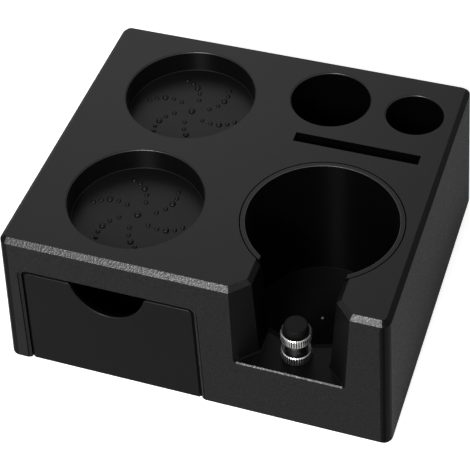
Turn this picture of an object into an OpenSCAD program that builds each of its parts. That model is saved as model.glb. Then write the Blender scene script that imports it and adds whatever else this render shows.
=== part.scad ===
// Espresso tamping station: a moulded counter-top box with two tamper recesses, a well for the
// portafilter with a notch and a height-adjustable support post for its handle, two tool cups,
// a narrow tool slot and a drawer. Origin: middle of the footprint, on the counter.
// +X is right, +Y is back and +Z is up. The notch and the drawer face the front.

/* [Housing] */
// Distance from the left edge of the housing to the drawer opening
left_margin = 13.65; // [12.5:0.05:20]
// Width of the housing between the drawer opening and the bore of the well
middle_margin = 9.75; // [9.6:0.05:16]
// Distance from the bore of the well to the right edge of the housing
right_margin = 14.3; // [13:0.1:20]
// Depth of the housing at its lower edge, front to back
base_d = 176.6; // [175:0.2:190]
// Height of the moulded housing above its lower edge
body_h = 81.8; // [80:0.2:92]
// Inward slope of the four outer walls, in degrees
wall_draft = 3; // [2:0.25:3.5]
// Thickness of the outer walls
wall = 2.5; // [2:0.1:2.8]
// Thickness of the top deck
deck_t = 2.8; // [2.4:0.1:3.4]
// Radius of the upright corners
corner_r = 4.8; // [3.8:0.2:7]
// Width of the bevel round the deck and along the notch
deck_bevel = 2.35; // [1.6:0.05:2.6]
// Thickness of the inner walls, tubes and ribs
rib_t = 2; // [1.6:0.1:2.2]
// Radius that softens the rim of each recess and cup
rim_r = 0.8; // [0.4:0.1:1]

/* [Tamper recesses] */
// Diameter of each tamper recess at the deck
recess_d = 67; // [60:0.5:69]
// Depth of each tamper recess
recess_depth = 12; // [8:0.5:13]
// Distance between the two recess centres
recess_pitch = 79; // [76:0.5:82]
// Distance of the middle of the two recesses in front of the middle of the housing
recess_front = 0.4; // [0:0.1:1]
// Inward slope of the recess walls, in degrees
recess_draft = 2; // [1:0.5:3]
// Radius where the recess wall meets its floor
recess_floor_r = 1.2; // [0.6:0.1:2]

/* [Portafilter well] */
// Distance of the well centre behind the front edge of the housing
well_inset = 59.2; // [57:0.1:62]
// Bore of the well liner at the deck
well_d = 73.6; // [70:0.2:74]
// Wall thickness of the well liner
liner_t = 2.7; // [2:0.1:2.8]
// Thickness of the liner floor
liner_floor_t = 2.5; // [2:0.1:3.5]
// Height of the liner floor above the lower edge of the housing
well_floor_z = 10; // [9:0.2:16]
// Inward slope of the liner walls, in degrees
liner_draft = 1.3; // [0.5:0.1:1.5]
// How much wider the slit of the liner is than the notch, on each side
slit_ease = 0.8; // [0.2:0.1:1]
// Gap all round between the liner and its seat
liner_gap = 0.15; // [0.1:0.05:0.3]

/* [Handle notch] */
// Width of the notch just below its bevel
notch_w = 40; // [36:0.5:41]
// Height of the notch floor above the lower edge of the housing
notch_floor_z = 33.2; // [31:0.2:38]
// Thickness of the notch floor
notch_floor_t = 2.6; // [2.2:0.1:4]
// Inward slope of the notch walls, in degrees
notch_draft = 3; // [2:0.25:3.5]
// Distance from the front face, at the deck bevel, to the corner where the notch splays out
splay_run = 8.7; // [7.5:0.1:9.5]
// Size of the bevel on the front edge of the notch floor
sill_bevel = 0.9; // [0.4:0.1:1.4]

/* [Tool holders] */
// Diameter of the large tool cup
cup_d = 40.8; // [36:0.2:41.2]
// Height of the large cup's floor above the lower edge of the housing
cup_floor_z = 15.8; // [8:0.2:30]
// Distance of the large cup's centre from the right edge of the housing
cup_inset = 71.1; // [70.4:0.1:71.5]
// Distance of the cup centres from the back edge of the housing
cup_back_inset = 33.5; // [32.7:0.1:34.7]
// Diameter of the small tool cup
small_cup_d = 29.2; // [26:0.2:29.6]
// Height of the small cup's floor above the lower edge of the housing
small_cup_floor_z = 21.8; // [8:0.2:30]
// Distance of the small cup's centre from the right edge of the housing
small_cup_inset = 27; // [26.6:0.1:27.4]
// Inward slope of the cup walls, in degrees
cup_draft = 0.5; // [0.25:0.25:1]
// Length of the tool slot
slot_l = 64; // [60:0.5:66]
// Width of the tool slot
slot_w = 6.5; // [5:0.1:7]
// Height of the slot's floor above the lower edge of the housing
slot_floor_z = 37.8; // [24:0.2:50]
// Distance of the middle of the slot from the right edge of the housing
slot_inset = 48.8; // [48:0.1:50]
// Distance of the slot from the back edge of the housing
slot_back_inset = 65.5; // [64.3:0.1:66.5]

/* [Drawer] */
// Width of the drawer opening at its top
opening_w = 88.7; // [86:0.1:89.6]
// Height of the front wall above the drawer opening
opening_drop = 19.4; // [18:0.2:24]
// Outward slope of the sides of the opening, in degrees
opening_draft = 1.5; // [0.5:0.25:1.5]
// Radius of the upper corners of the opening
opening_r = 3; // [2:0.25:5]
// Gap between the drawer front and the opening
drawer_gap = 0.55; // [0.4:0.05:0.8]
// Depth of the bevel round the opening, which the drawer front lies behind
lip_bevel = 0.9; // [0.5:0.1:1.2]
// Thickness of the drawer front
front_t = 2.8; // [2.2:0.1:3.4]
// Distance of the back of the drawer tray from the back edge of the housing
tray_back_inset = 22.9; // [19:0.1:60]
// How far each side of the drawer tray is set in from the edge of the opening
tray_inset = 3.35; // [3:0.05:6]
// Distance of the tray's rim below the top of the drawer opening
tray_drop = 8.6; // [6:0.2:20]
// Thickness of the tray walls and floor
tray_t = 2; // [1.6:0.1:2.6]
// Radius of the half-moon finger notch
finger_r = 19; // [15:0.5:20]
// Height of the centre of the finger notch above the top of the drawer front
finger_rise = 1.9; // [0:0.1:3]
// Radius where the finger notch meets the top of the drawer front
finger_ease = 2; // [1:0.25:3]

/* [Support post] */
// Distance of the post behind the front edge of the housing
post_inset = 15.1; // [14.7:0.1:15.4]
// Diameter over the knurled rings
knurl_d = 15; // [13:0.2:15.4]
// Height of each knurled ring
knurl_h = 5.2; // [4:0.1:6]
// Number of knurl grooves on each ring
knurl_count = 40; // [24:2:44]
// Diameter of the polished neck
neck_d = 11.2; // [10:0.2:12]
// Height of the polished neck between the rings
neck_h = 7; // [5:0.2:8]
// Diameter of the threaded spigot that holds the post in the notch floor
spigot_d = 8; // [7:0.2:8.4]
// Length of the threaded spigot
spigot_l = 16; // [12:0.5:18]
// Diameter of the adjusting screw
screw_d = 5; // [4:0.2:5.2]
// Length of the adjusting screw below the upper ring
screw_l = 20; // [16:0.5:22]
// Radial clearance of the threads and of the pad stem
thread_gap = 0.05; // [0.03:0.01:0.08]
// Diameter of the rubber pad
pad_d = 11.6; // [10:0.2:12]
// Height of the rubber pad above the upper ring
pad_h = 4.4; // [3:0.1:6]
// Radius that rounds the top of the rubber pad
pad_r = 0.8; // [0.4:0.1:1.4]
// Gap that keeps parts that move apart
slip_gap = 0.3; // [0.2:0.05:0.4]

/* [Base plate and feet] */
// Thickness of the base plate
plate_t = 2.5; // [2.2:0.1:3.2]
// Gap between the base plate and the housing walls
plate_gap = 0.3; // [0.2:0.1:0.6]
// Height of the ribs that the drawer slides on
runner_h = 1; // [0.6:0.1:1.6]
// Height of the side guides of the drawer
guide_h = 7; // [5:0.5:12]
// Gap between the tray and its side guides
guide_gap = 0.5; // [0.3:0.1:0.8]
// Height that the rubber feet stand below the housing
foot_drop = 1.5; // [1:0.1:3]
// Diameter of each rubber foot
foot_d = 12; // [8:0.5:14]
// Distance of the feet's centres from the sides, the front and the back
foot_inset = 17; // [14:0.5:20]
// Depth of the seat of each foot in the base plate
foot_seat = 0.8; // [0.5:0.1:1]
// Diameter of the shank of the base screws
base_screw_d = 3; // [2.6:0.1:3.4]
// Length of the base screws under their heads
base_screw_l = 10; // [8:0.5:14]

/* [Hidden] */

$fn = 48;
// A cut runs past the face that it opens by this much
over = 1;
// A hull is drawn between slices of this thickness
skin = 0.02;
// Segments of a circle inside a hull
hull_fn = 32;
// Segments of the small circles that ease an edge
ease_fn = 16;

lean = tan(wall_draft);
shade_body = [0.20, 0.20, 0.205];
shade_liner = [0.13, 0.13, 0.135];
shade_drawer = [0.15, 0.15, 0.155];
shade_rubber = [0.10, 0.10, 0.10];
shade_metal = [0.78, 0.78, 0.80];
shade_steel = [0.55, 0.55, 0.57];

base_w = left_margin + opening_w + middle_margin + well_d + right_margin;
left_x = base_w/2 - left_margin - opening_w/2;
right_x = base_w/2 - right_margin - well_d/2;
cup_x = base_w/2 - cup_inset;
small_cup_x = base_w/2 - small_cup_inset;
slot_x = base_w/2 - slot_inset;
cup_y = base_d/2 - cup_back_inset;
slot_y = base_d/2 - slot_back_inset;
well_y = -base_d/2 + well_inset;
post_y = -base_d/2 + post_inset;
opening_h = body_h - opening_drop;
well_depth = body_h - well_floor_z;
cup_depth = body_h - cup_floor_z;
small_cup_depth = body_h - small_cup_floor_z;

bevel_z = body_h - deck_bevel;
recess_ys = [-recess_front - recess_pitch/2, -recess_front + recess_pitch/2];
liner_r = well_d/2 + liner_t;
seat_r = liner_r + liner_gap;
liner_h = well_depth + liner_floor_t;
liner_bottom_z = body_h - liner_h;
ledge_t = 2;
ledge_w = 6;

// Front face of the housing at height z, and the front face at the deck bevel
function front_y(z) = -base_d/2 + lean*z;
notch_corner_y = front_y(bevel_z) + splay_run;
function notch_half(z) = notch_w/2 - (bevel_z - z)*tan(notch_draft);

bore_d = screw_d + 2*thread_gap;
spigot_hole_d = spigot_d + 2*thread_gap;
boss_r = spigot_hole_d/2 + rib_t;
head_z = notch_floor_z + knurl_h + neck_h + slip_gap;
head_top_z = head_z + knurl_h;
pad_seat_depth = 0.9;
pad_stem_d = 4;
pad_stem_l = 2.6;

plate_top_z = plate_t;
tray_bottom_z = plate_top_z + runner_h + slip_gap;
tray_w = opening_w - 2*tray_inset;
tray_h = opening_h - tray_drop - tray_bottom_z;
tray_back = base_d/2 - tray_back_inset;
front_gap_bottom = 0.5;
lip_spread = 1.4*lip_bevel;
boss_d = base_screw_d + 2*rib_t;
// Height of the screw bosses above the tips of their screws
boss_over = 4;
base_boss_h = base_screw_l + boss_over;
// Clear distance from a boss to the wall beside it, and from the corner bosses to the end walls
boss_gap = 1.6;
boss_inset = wall + boss_d/2 + boss_gap;
boss_end_gap = 15;
// Steps aside of the two middle bosses, past the notch mouth and past the large cup
mouth_step = 8.6;
cup_step = 8;
screw_head_d = base_screw_d*1.9;
screw_head_h = 1.5;
// Play of the screws and the feet in the base plate
plate_play = 0.2;
// Rails on the base plate: width, ends, and distance from the side of the tray
rail_w = 4;
rail_front = 8;
rail_back = 16;
rail_in = 6;
// Room behind the drawer front, and between the drawer bay and the wall beside it
bay_gap = 0.8;
boss_points = [for (p = [[-1, -1], [-1, 1], [1, -1], [1, 1]])
                 [p[0]*(base_w/2 - boss_inset), p[1]*(base_d/2 - wall - boss_end_gap)],
               [right_x - notch_w/2 - splay_run - mouth_step, boss_inset - base_d/2],
               [cup_x - cup_step, base_d/2 - boss_inset]];
foot_points = [[-1, -1], [1, -1], [-1, 1], [1, 1]];

// Region between a convex corner at p and its tangent circle. The corner's edges leave p at the
// angles a1 and a2, with a2 the larger.
module corner_ease(p, a1, a2, r) {
  half = (a2 - a1)/2;
  mid = (a1 + a2)/2;
  centre = p + r/sin(half)*[cos(mid), sin(mid)];
  run = r/tan(half);
  difference() {
    polygon([p, p + run*[cos(a1), sin(a1)], centre, p + run*[cos(a2), sin(a2)]]);
    translate(centre) circle(r = r, $fn = ease_fn);
  }
}

module round_rect(w, d, r) {
  square([w - 2*r, d], center = true);
  square([w, d - 2*r], center = true);
  for (x = [-1, 1], y = [-1, 1])
    translate([x*(w/2 - r), y*(d/2 - r)]) circle(r = r);
}

// Half section of a round hollow: top radius r, depth d below z = 0, wall slope a in degrees,
// eased by floor_r at the floor and by rim at the deck
module hollow_section(r, d, a, floor_r, rim) {
  low = r - d*tan(a);
  run = rim/tan((90 + a)/2);
  difference() {
    polygon([[0, over], [r, over], [r, 0], [low, -d], [0, -d]]);
    corner_ease([low, -d], 90 - a, 180, floor_r);
  }
  difference() {
    polygon([[r - rim, over], [r + run, over], [r + run, -rim], [r - run*sin(a), -run*cos(a)],
             [r - rim, -run*cos(a)]]);
    translate([r + run, -rim]) circle(r = rim, $fn = ease_fn);
  }
}

module hollow(r, d, a, floor_r, rim) {
  rotate_extrude() hollow_section(r, d, a, floor_r, rim);
}

// Outer tube that carries a hollow of top radius r and depth d
module tube(r, d, a, t) {
  translate([0, 0, -d - t]) cylinder(r1 = r - d*tan(a) + t, r2 = r + t, h = d + t);
}

module shell_slice(inset, z, r) {
  translate([0, 0, z]) linear_extrude(skin)
    round_rect(base_w - 2*inset, base_d - 2*inset, r, $fn = hull_fn);
}

module outer_form() {
  hull() {
    shell_slice(0, 0, corner_r);
    shell_slice(lean*bevel_z, bevel_z - skin, corner_r);
    shell_slice(lean*bevel_z + deck_bevel, body_h - skin, corner_r - deck_bevel/2);
  }
}

module inner_form() {
  top_z = body_h - deck_t;
  hull() {
    shell_slice(wall - lean*over, -over, corner_r - wall/2);
    shell_slice(wall + lean*top_z, top_z - skin, corner_r - wall/2);
  }
}

// Plane of the front face: local X is right, local Y climbs the face and local Z leaves it
module on_front() {
  translate([0, -base_d/2, 0]) rotate([90 - wall_draft, 0, 0]) children();
}

// Right half of the outline of the drawer opening, from the bottom up, set in by inset on its side
// and top, with its upper corner rounded to r in a number of steps
function half_opening(inset, bottom, r, steps) =
  let (top = opening_h/cos(wall_draft) - inset,
       half = opening_w/2 - inset/cos(opening_draft),
       mid = 225 + opening_draft/2,
       centre = [half, top] + r/sin(45 + opening_draft/2)*[cos(mid), sin(mid)])
  concat([[half + (top - bottom)*tan(opening_draft), bottom]],
         [for (i = [0:steps]) let (a = opening_draft + i*(90 - opening_draft)/steps)
            centre + r*[cos(a), sin(a)]]);

module opening_outline(inset, bottom, r = opening_r, steps = 7) {
  right = half_opening(inset, bottom, r, steps);
  last = len(right) - 1;
  translate([-left_x, 0])
    polygon(concat(right, [for (i = [last:-1:0]) [-right[i][0], right[i][1]]]));
}

// Opening with a bevel round it, whose planes start inside the opening and end outside the wall
module opening_cut() {
  on_front() translate([0, 0, -3*wall]) linear_extrude(3*wall + over)
    opening_outline(0, -over);
  hull() on_front() for (side = [-2, 1])
    translate([0, 0, side*lip_bevel]) linear_extrude(skin)
      opening_outline(-lip_spread*(side + 1), -over/2, 0.4*opening_r, 1);
}

// Walls of the notch, drawn as prisms: a straight channel and two sides that splay out at 45 degrees
module channel_prism(floor_z, y_back) {
  low = notch_half(floor_z);
  high = notch_half(bevel_z);
  up = body_h + over;
  translate([right_x, y_back, 0]) rotate([90, 0, 0])
    linear_extrude(y_back + base_d/2 + over)
      polygon([[-low, floor_z], [low, floor_z], [high, bevel_z], [high + deck_bevel + over, up],
               [-high - deck_bevel - over, up], [-high, bevel_z]]);
}

module splay_prism(floor_z) {
  reach = (splay_run + 6)*sqrt(2);
  shift = (bevel_z - floor_z)*tan(notch_draft);
  for (s = [0, 1]) translate([right_x, 0, 0]) mirror([s, 0, 0])
    translate([notch_w/2, notch_corner_y, 0]) rotate([0, 0, 45]) rotate([90, 0, 0])
      linear_extrude(reach)
        polygon([[-reach/2 - shift, floor_z], [-shift, floor_z], [0, bevel_z],
                 [deck_bevel + over, body_h + over], [-reach/2 - shift, body_h + over]]);
}

module notch_cut() {
  channel_prism(notch_floor_z, well_y - seat_r/2);
  splay_prism(notch_floor_z);
  // Bevel on the front edge of the notch floor
  y = front_y(notch_floor_z);
  z = notch_floor_z;
  half = notch_half(z) + notch_corner_y - y - 2*(bevel_z - z)*tan(notch_draft)*(sqrt(2) - 1);
  translate([right_x - half, 0, 0]) rotate([90, 0, 90]) linear_extrude(2*half)
    polygon([[y - over, z - sill_bevel - over], [y + sill_bevel + over, z + over],
             [y - over, z + over]]);
}

// Material round the notch and the seat of the well
module notch_block() {
  half = notch_w/2 + rib_t;
  front = -base_d/2;
  mouth = half + (notch_corner_y - front);
  translate([right_x, 0, notch_floor_z - notch_floor_t]) linear_extrude(body_h)
    polygon([[-half, well_y], [-half, notch_corner_y + rib_t/2], [-mouth, front],
             [mouth, front], [half, notch_corner_y + rib_t/2], [half, well_y]]);
}

module well_seat() {
  translate([right_x, well_y, liner_bottom_z - ledge_t])
    cylinder(r1 = seat_r - liner_h*tan(liner_draft) + rib_t, r2 = seat_r + rib_t,
             h = liner_h + ledge_t);
}

module well_seat_cut() {
  low = seat_r - liner_h*tan(liner_draft);
  translate([right_x, well_y, liner_bottom_z]) {
    cylinder(r1 = low, r2 = seat_r + over*tan(liner_draft), h = liner_h + over);
    translate([0, 0, -ledge_t - over]) cylinder(r = low - ledge_w, h = ledge_t + 2*over);
  }
}

module slot_block(grow, z) {
  translate([slot_x - slot_l/2 - grow, slot_y - slot_w/2 - grow, z])
    cube([slot_l + 2*grow, slot_w + 2*grow, body_h - z + over]);
}

// Pillar for one base screw, with a web that ties it to the wall in front of it or behind it
module base_boss(p) {
  reach = base_d/2 - abs(p[1]);
  translate([p[0], p[1], plate_top_z]) cylinder(d = boss_d, h = base_boss_h);
  translate([p[0] - rib_t/2, p[1] > 0 ? p[1] : p[1] - reach, plate_top_z])
    cube([rib_t, reach, base_boss_h]);
}

// Wall that parts the drawer bay from the well
module bay_wall() {
  x = -left_x + opening_w/2 + opening_h*tan(opening_draft) + bay_gap;
  translate([x, -base_d/2, plate_top_z + plate_gap]) cube([rib_t, base_d, body_h]);
}

module housing_inside() {
  for (y = recess_ys) translate([-left_x, y, body_h])
    tube(recess_d/2, recess_depth, recess_draft, rib_t);
  translate([cup_x, cup_y, body_h]) tube(cup_d/2, cup_depth, cup_draft, rib_t);
  translate([small_cup_x, cup_y, body_h]) tube(small_cup_d/2, small_cup_depth, cup_draft, rib_t);
  slot_block(rib_t, slot_floor_z - rib_t);
  well_seat();
  notch_block();
  bay_wall();
  // Boss that takes the spigot of the support post
  translate([right_x, post_y, notch_floor_z - spigot_l - 1]) cylinder(r = boss_r, h = spigot_l);
  for (p = boss_points) base_boss(p);
}

module housing() {
  color(shade_body) difference() {
    outer_form();
    difference() {
      inner_form();
      housing_inside();
    }
    for (y = recess_ys) translate([-left_x, y, body_h])
      hollow(recess_d/2, recess_depth, recess_draft, recess_floor_r, rim_r);
    translate([cup_x, cup_y, body_h]) hollow(cup_d/2, cup_depth, cup_draft, rim_r, rim_r);
    translate([small_cup_x, cup_y, body_h])
      hollow(small_cup_d/2, small_cup_depth, cup_draft, rim_r, rim_r);
    slot_block(0, slot_floor_z);
    well_seat_cut();
    notch_cut();
    opening_cut();
    translate([right_x, post_y, notch_floor_z - spigot_l - 2])
      cylinder(d = spigot_hole_d, h = spigot_l + 3);
    for (p = boss_points) translate([p[0], p[1], 0])
      cylinder(d = base_screw_d + 2*thread_gap, h = plate_top_z + base_screw_l);
  }
}

// Deep cup with a slit in line with the notch. Its rim is bevelled, because the slit runs
// through it.
module well_liner() {
  low = liner_r - liner_h*tan(liner_draft);
  inner = well_d/2;
  inner_low = inner - well_depth*tan(liner_draft);
  color(shade_liner) difference() {
    translate([right_x, well_y, body_h]) rotate_extrude() difference() {
      polygon([[0, -liner_h], [low, -liner_h], [liner_r, 0], [inner + rim_r, 0],
               [inner - rim_r*tan(liner_draft), -rim_r], [inner_low, -well_depth],
               [0, -well_depth]]);
      corner_ease([low, -liner_h], 90 - liner_draft, 180, ledge_t/2);
    }
    liner_slit();
  }
}

module liner_slit() {
  low = notch_half(notch_floor_z) + slit_ease;
  high = notch_half(body_h + over) + slit_ease;
  translate([right_x, well_y - well_d/4, 0]) rotate([90, 0, 0]) linear_extrude(well_d)
    polygon([[-low, notch_floor_z], [low, notch_floor_z], [high, body_h + over],
             [-high, body_h + over]]);
}

// Straight rib on the base plate, for the tray to slide on or along
module rail(x, w, h) {
  translate([x - w/2, rail_front - base_d/2, plate_t])
    cube([w, base_d - rail_front - rail_back, h]);
}

module base_plate() {
  w = base_w - 2*(wall + plate_gap);
  d = base_d - 2*(wall + plate_gap);
  bay_half = opening_w/2 + opening_h*tan(opening_draft) + lip_bevel;
  color(shade_body) difference() {
    union() {
      linear_extrude(plate_t) round_rect(w, d, corner_r - wall/2);
      for (s = [-1, 1]) {
        rail(-left_x + s*(tray_w/2 - rail_in), rail_w, runner_h);
        rail(-left_x + s*(tray_w/2 + guide_gap + rib_t/2), rib_t, guide_h);
      }
    }
    translate([-left_x - bay_half, front_y(0) - over, -over])
      cube([2*bay_half, over + lip_bevel + front_t + bay_gap, plate_t + 2*over]);
    for (p = boss_points) translate([p[0], p[1], -over]) {
      cylinder(d = base_screw_d + 2*plate_play, h = plate_t + 2*over);
      cylinder(d = screw_head_d + 2*plate_play, h = over + screw_head_h);
    }
    for (p = foot_points) translate([p[0]*(base_w/2 - foot_inset), p[1]*(base_d/2 - foot_inset), -over])
      cylinder(d = foot_d + plate_play, h = over + foot_seat);
  }
}

module base_screws() {
  color(shade_steel) for (p = boss_points) translate([p[0], p[1], 0]) {
    difference() {
      cylinder(d = screw_head_d, h = screw_head_h);
      translate([0, 0, -over]) cylinder(d = screw_head_d*0.45, h = over + 0.8, $fn = 6);
    }
    cylinder(d = base_screw_d, h = screw_head_h + base_screw_l - 1);
  }
}

module foot(p) {
  color(shade_rubber) translate([p[0]*(base_w/2 - foot_inset), p[1]*(base_d/2 - foot_inset), -foot_drop])
    difference() {
      cylinder(d = foot_d, h = foot_drop + foot_seat);
      rotate_extrude() corner_ease([foot_d/2, 0], 90, 180, 0.5);
    }
}

// Half-moon with eased ends, which is cut from the upper edge of the drawer front. Seen from the
// half-moon's centre, the easing circles touch it at the angle touch_a below the horizontal.
function finger_points(top) =
  let (drop = finger_rise + finger_ease,
       centre = [-left_x, top + finger_rise],
       touch_a = asin(drop/(finger_r + finger_ease)),
       ease_x = (finger_r + finger_ease)*cos(touch_a),
       arc = [for (i = [0:24]) let (a = 180 + touch_a + i*(180 - 2*touch_a)/24)
                centre + finger_r*[cos(a), sin(a)]],
       ease = [for (i = [1:6]) let (a = 180 - touch_a + i*(touch_a - 90)/6)
                 [-left_x + ease_x, top - finger_ease] + finger_ease*[cos(a), sin(a)]])
  concat(arc, ease, [[-left_x + ease_x, top + over], [-left_x - ease_x, top + over]],
         [for (i = [5:-1:0]) [-2*left_x - ease[i][0], ease[i][1]]]);

module front_outline() {
  difference() {
    opening_outline(drawer_gap, front_gap_bottom);
    polygon(finger_points(opening_h/cos(wall_draft) - drawer_gap));
  }
}

// Open tray, drawn long enough to reach into the leaning drawer front
module tray() {
  start = front_y(0) + lip_bevel;
  length = tray_back - start;
  difference() {
    translate([-left_x, start + length/2, tray_bottom_z]) linear_extrude(tray_h)
      round_rect(tray_w, length, 4);
    translate([-left_x, start + (length - tray_t)/2, tray_bottom_z + tray_t])
      linear_extrude(tray_h) round_rect(tray_w - 2*tray_t, length - tray_t, 3);
    on_front() translate([-base_w, -base_w, -lip_bevel - front_t/2]) cube(2*base_w);
  }
}

module drawer() {
  color(shade_drawer) {
    on_front() translate([0, 0, -lip_bevel - front_t]) linear_extrude(front_t) front_outline();
    tray();
  }
}

// One knurled ring, eased at both rims
module knurled_ring(z) {
  translate([0, 0, z]) difference() {
    rotate_extrude() difference() {
      square([knurl_d/2, knurl_h]);
      corner_bevel([knurl_d/2, 0], 1);
      corner_bevel([knurl_d/2, knurl_h], -1);
    }
    for (i = [0:knurl_count - 1]) rotate([0, 0, i*360/knurl_count])
      translate([knurl_d/2 + 0.12, 0, -over]) cylinder(d = 0.8, h = knurl_h + 2*over, $fn = 16);
  }
}

module corner_bevel(p, side) {
  b = 0.45;
  polygon([p + [-b, -side*over/10], p + [over/10, -side*over/10], p + [over/10, side*b],
           p + [0, side*b], p + [-b, 0]]);
}

module support_base() {
  color(shade_metal) translate([right_x, post_y, 0]) difference() {
    union() {
      knurled_ring(notch_floor_z);
      translate([0, 0, notch_floor_z]) cylinder(d = neck_d, h = knurl_h + neck_h);
      translate([0, 0, notch_floor_z - spigot_l]) cylinder(d = spigot_d, h = spigot_l + over);
    }
    translate([0, 0, notch_floor_z - spigot_l - over])
      cylinder(d = bore_d, h = spigot_l + knurl_h + neck_h + 2*over);
  }
}

module support_head() {
  color(shade_metal) translate([right_x, post_y, 0]) difference() {
    union() {
      knurled_ring(head_z);
      translate([0, 0, head_z - screw_l]) cylinder(d = screw_d, h = screw_l + over);
    }
    translate([0, 0, head_top_z - pad_seat_depth])
      cylinder(d = pad_d + 2*slip_gap + 0.8, h = pad_seat_depth + over);
    translate([0, 0, head_top_z - pad_seat_depth - pad_stem_l - slip_gap])
      cylinder(d = pad_stem_d + 2*thread_gap, h = pad_stem_l + over);
  }
}

module support_pad() {
  h = pad_seat_depth - slip_gap + pad_h;
  color(shade_rubber) translate([right_x, post_y, head_top_z - pad_seat_depth + slip_gap]) {
    difference() {
      cylinder(d = pad_d, h = h);
      rotate_extrude() corner_ease([pad_d/2, h], 180, 270, pad_r);
    }
    translate([0, 0, -pad_stem_l]) cylinder(d = pad_stem_d, h = pad_stem_l + over/2);
  }
}

translate([0, 0, foot_drop]) {
  housing();
  well_liner();
  base_plate();
  base_screws();
  foot(foot_points[0]);  // foot_front_left
  foot(foot_points[1]);  // foot_front_right
  foot(foot_points[2]);  // foot_back_left
  foot(foot_points[3]);  // foot_back_right
  drawer();
  support_base();
  support_head();
  support_pad();
}
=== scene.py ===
"""Looks of an espresso tamping station: housing, well liner, drawer and handle support.

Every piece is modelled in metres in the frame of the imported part: +X right, +Y back, +Z up, with
the origin on the counter, under the middle of the housing.
"""

from __future__ import annotations

import logging
import math
from dataclasses import dataclass
from enum import Enum, IntEnum
from typing import Callable, Iterable, Sequence

import bmesh
import bpy
from mathutils import Matrix, Vector


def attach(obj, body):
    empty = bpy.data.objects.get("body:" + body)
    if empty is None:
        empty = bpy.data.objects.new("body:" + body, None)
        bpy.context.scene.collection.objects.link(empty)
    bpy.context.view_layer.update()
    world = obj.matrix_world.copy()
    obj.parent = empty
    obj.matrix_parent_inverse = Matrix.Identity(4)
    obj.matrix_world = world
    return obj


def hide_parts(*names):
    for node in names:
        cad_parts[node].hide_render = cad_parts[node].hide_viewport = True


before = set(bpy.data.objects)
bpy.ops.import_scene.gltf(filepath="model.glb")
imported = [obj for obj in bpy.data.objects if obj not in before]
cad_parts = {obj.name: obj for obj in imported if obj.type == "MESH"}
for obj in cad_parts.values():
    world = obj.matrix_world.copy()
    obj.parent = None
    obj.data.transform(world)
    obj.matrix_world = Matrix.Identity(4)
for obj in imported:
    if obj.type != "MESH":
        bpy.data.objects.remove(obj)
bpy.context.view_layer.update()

LOG = logging.getLogger("tamping_station")

# In metres
MM = 0.001
WELD_GAP = 1e-6
SLIVER = 2e-6
AT_FACE = 1e-6

# In radians
ROUNDED_FROM = math.radians(28)
SMOOTH_UP_TO = math.radians(35)

# In millimetres
CLEAR_OF_TOP = 2.0
NEAR = 0.01

Point = tuple[float, float, float]


class Body(Enum):
    """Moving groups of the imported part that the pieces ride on."""

    HOUSING = "housing"
    DRAWER = "drawer"
    PAD = "support_pad"
    HEAD = "support_head"


class Slot(Enum):
    """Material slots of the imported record."""

    BODY = "body"
    LINER = "liner"
    DRAWER = "drawer"
    POST = "post"
    PAD = "pad"


class Zone(IntEnum):
    """Areas of the housing that have a material of their own, several of them copies that paint
    shade and highlights, in slot order.
    """

    WALL = 0
    DECK = 1
    # Painted shade: a darker copy of the plastic on the notch's splayed walls and floor, the
    # bevels beside the notch and the rounded upright corners.
    HALF_SHADE = 2
    # Painted highlight: the front bevels and the sill get a copy of the plastic with much stronger
    # sheen.
    BEVEL = 3
    # Painted shade: a near-black copy of the plastic on the notch's walls that face across, the
    # cups, the slot, the inside of the walls and the line round the drawer.
    DEEP_SHADE = 4
    # Painted highlight: the rims of the hollows get a copy with stronger sheen.
    RIM = 5
    # Painted shade: the side walls get a dimmer copy of the wall plastic, darker than the front.
    SIDE = 6
    # Recess walls: real turned marks that stretch the highlight upwards, on a darker copy of the
    # plastic that paints shade.
    TURNED = 7
    # Painted shade: the recess floors get a slightly darker copy of the deck plastic.
    FLOOR = 8


class LinerZone(IntEnum):
    """Areas of the well liner, in slot order."""

    # Painted shade: the inner wall gets a near-black copy of the liner's plastic; the upward
    # turned marks are real.
    WALL = 0
    # Painted highlight: the ring's rounded edges and the slit's inner edges get a lighter copy
    # with strong sheen.
    EDGE = 1
    TOP = 2
    # Painted shade: the slit's floor gets the near-black copy.
    SLIT = 3
    # Painted highlight: the gate mark gets a pale colour that stands in for its glint.
    GATE = 4
    # Painted shade: the cup's floor gets a darker copy of the plastic.
    FLOOR = 5


class DrawerZone(IntEnum):
    """Areas of the drawer, in slot order."""

    FACE = 0
    # Painted shade: the inside faces and the front's top face in the gap get the near-black copy.
    INSIDE = 1
    # Painted highlight: the upward-facing rounded edges of the front get a lighter copy with
    # stronger sheen.
    EDGE = 2


class PostZone(IntEnum):
    """Areas of the post's two metal parts, in slot order."""

    KNURL = 0
    RIM = 1
    # Painted shade: the end faces and the groove flanks of the knurl get a near-black copy of the
    # nickel.
    FLAT = 2
    # Painted shade: the neck gets a dark copy of the nickel.
    NECK = 3


# Mesh tools


def deselect_all() -> None:
    """Leave object mode with nothing selected."""
    if bpy.context.object and bpy.context.object.mode != "OBJECT":
        bpy.ops.object.mode_set(mode="OBJECT")
    bpy.ops.object.select_all(action="DESELECT")


def activate(piece: bpy.types.Object) -> None:
    """Make one object the only selected and active one.

    Args:
        piece: The object that the next operators act on.
    """
    deselect_all()
    piece.select_set(True)
    bpy.context.view_layer.objects.active = piece


def open_mesh(piece: bpy.types.Object) -> None:
    """Enter edit mode on a piece with nothing selected.

    Args:
        piece: The mesh object to edit.
    """
    activate(piece)
    bpy.ops.object.mode_set(mode="EDIT")
    bpy.ops.mesh.select_all(action="DESELECT")


def close_mesh() -> None:
    """Go back to object mode."""
    bpy.ops.object.mode_set(mode="OBJECT")


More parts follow.
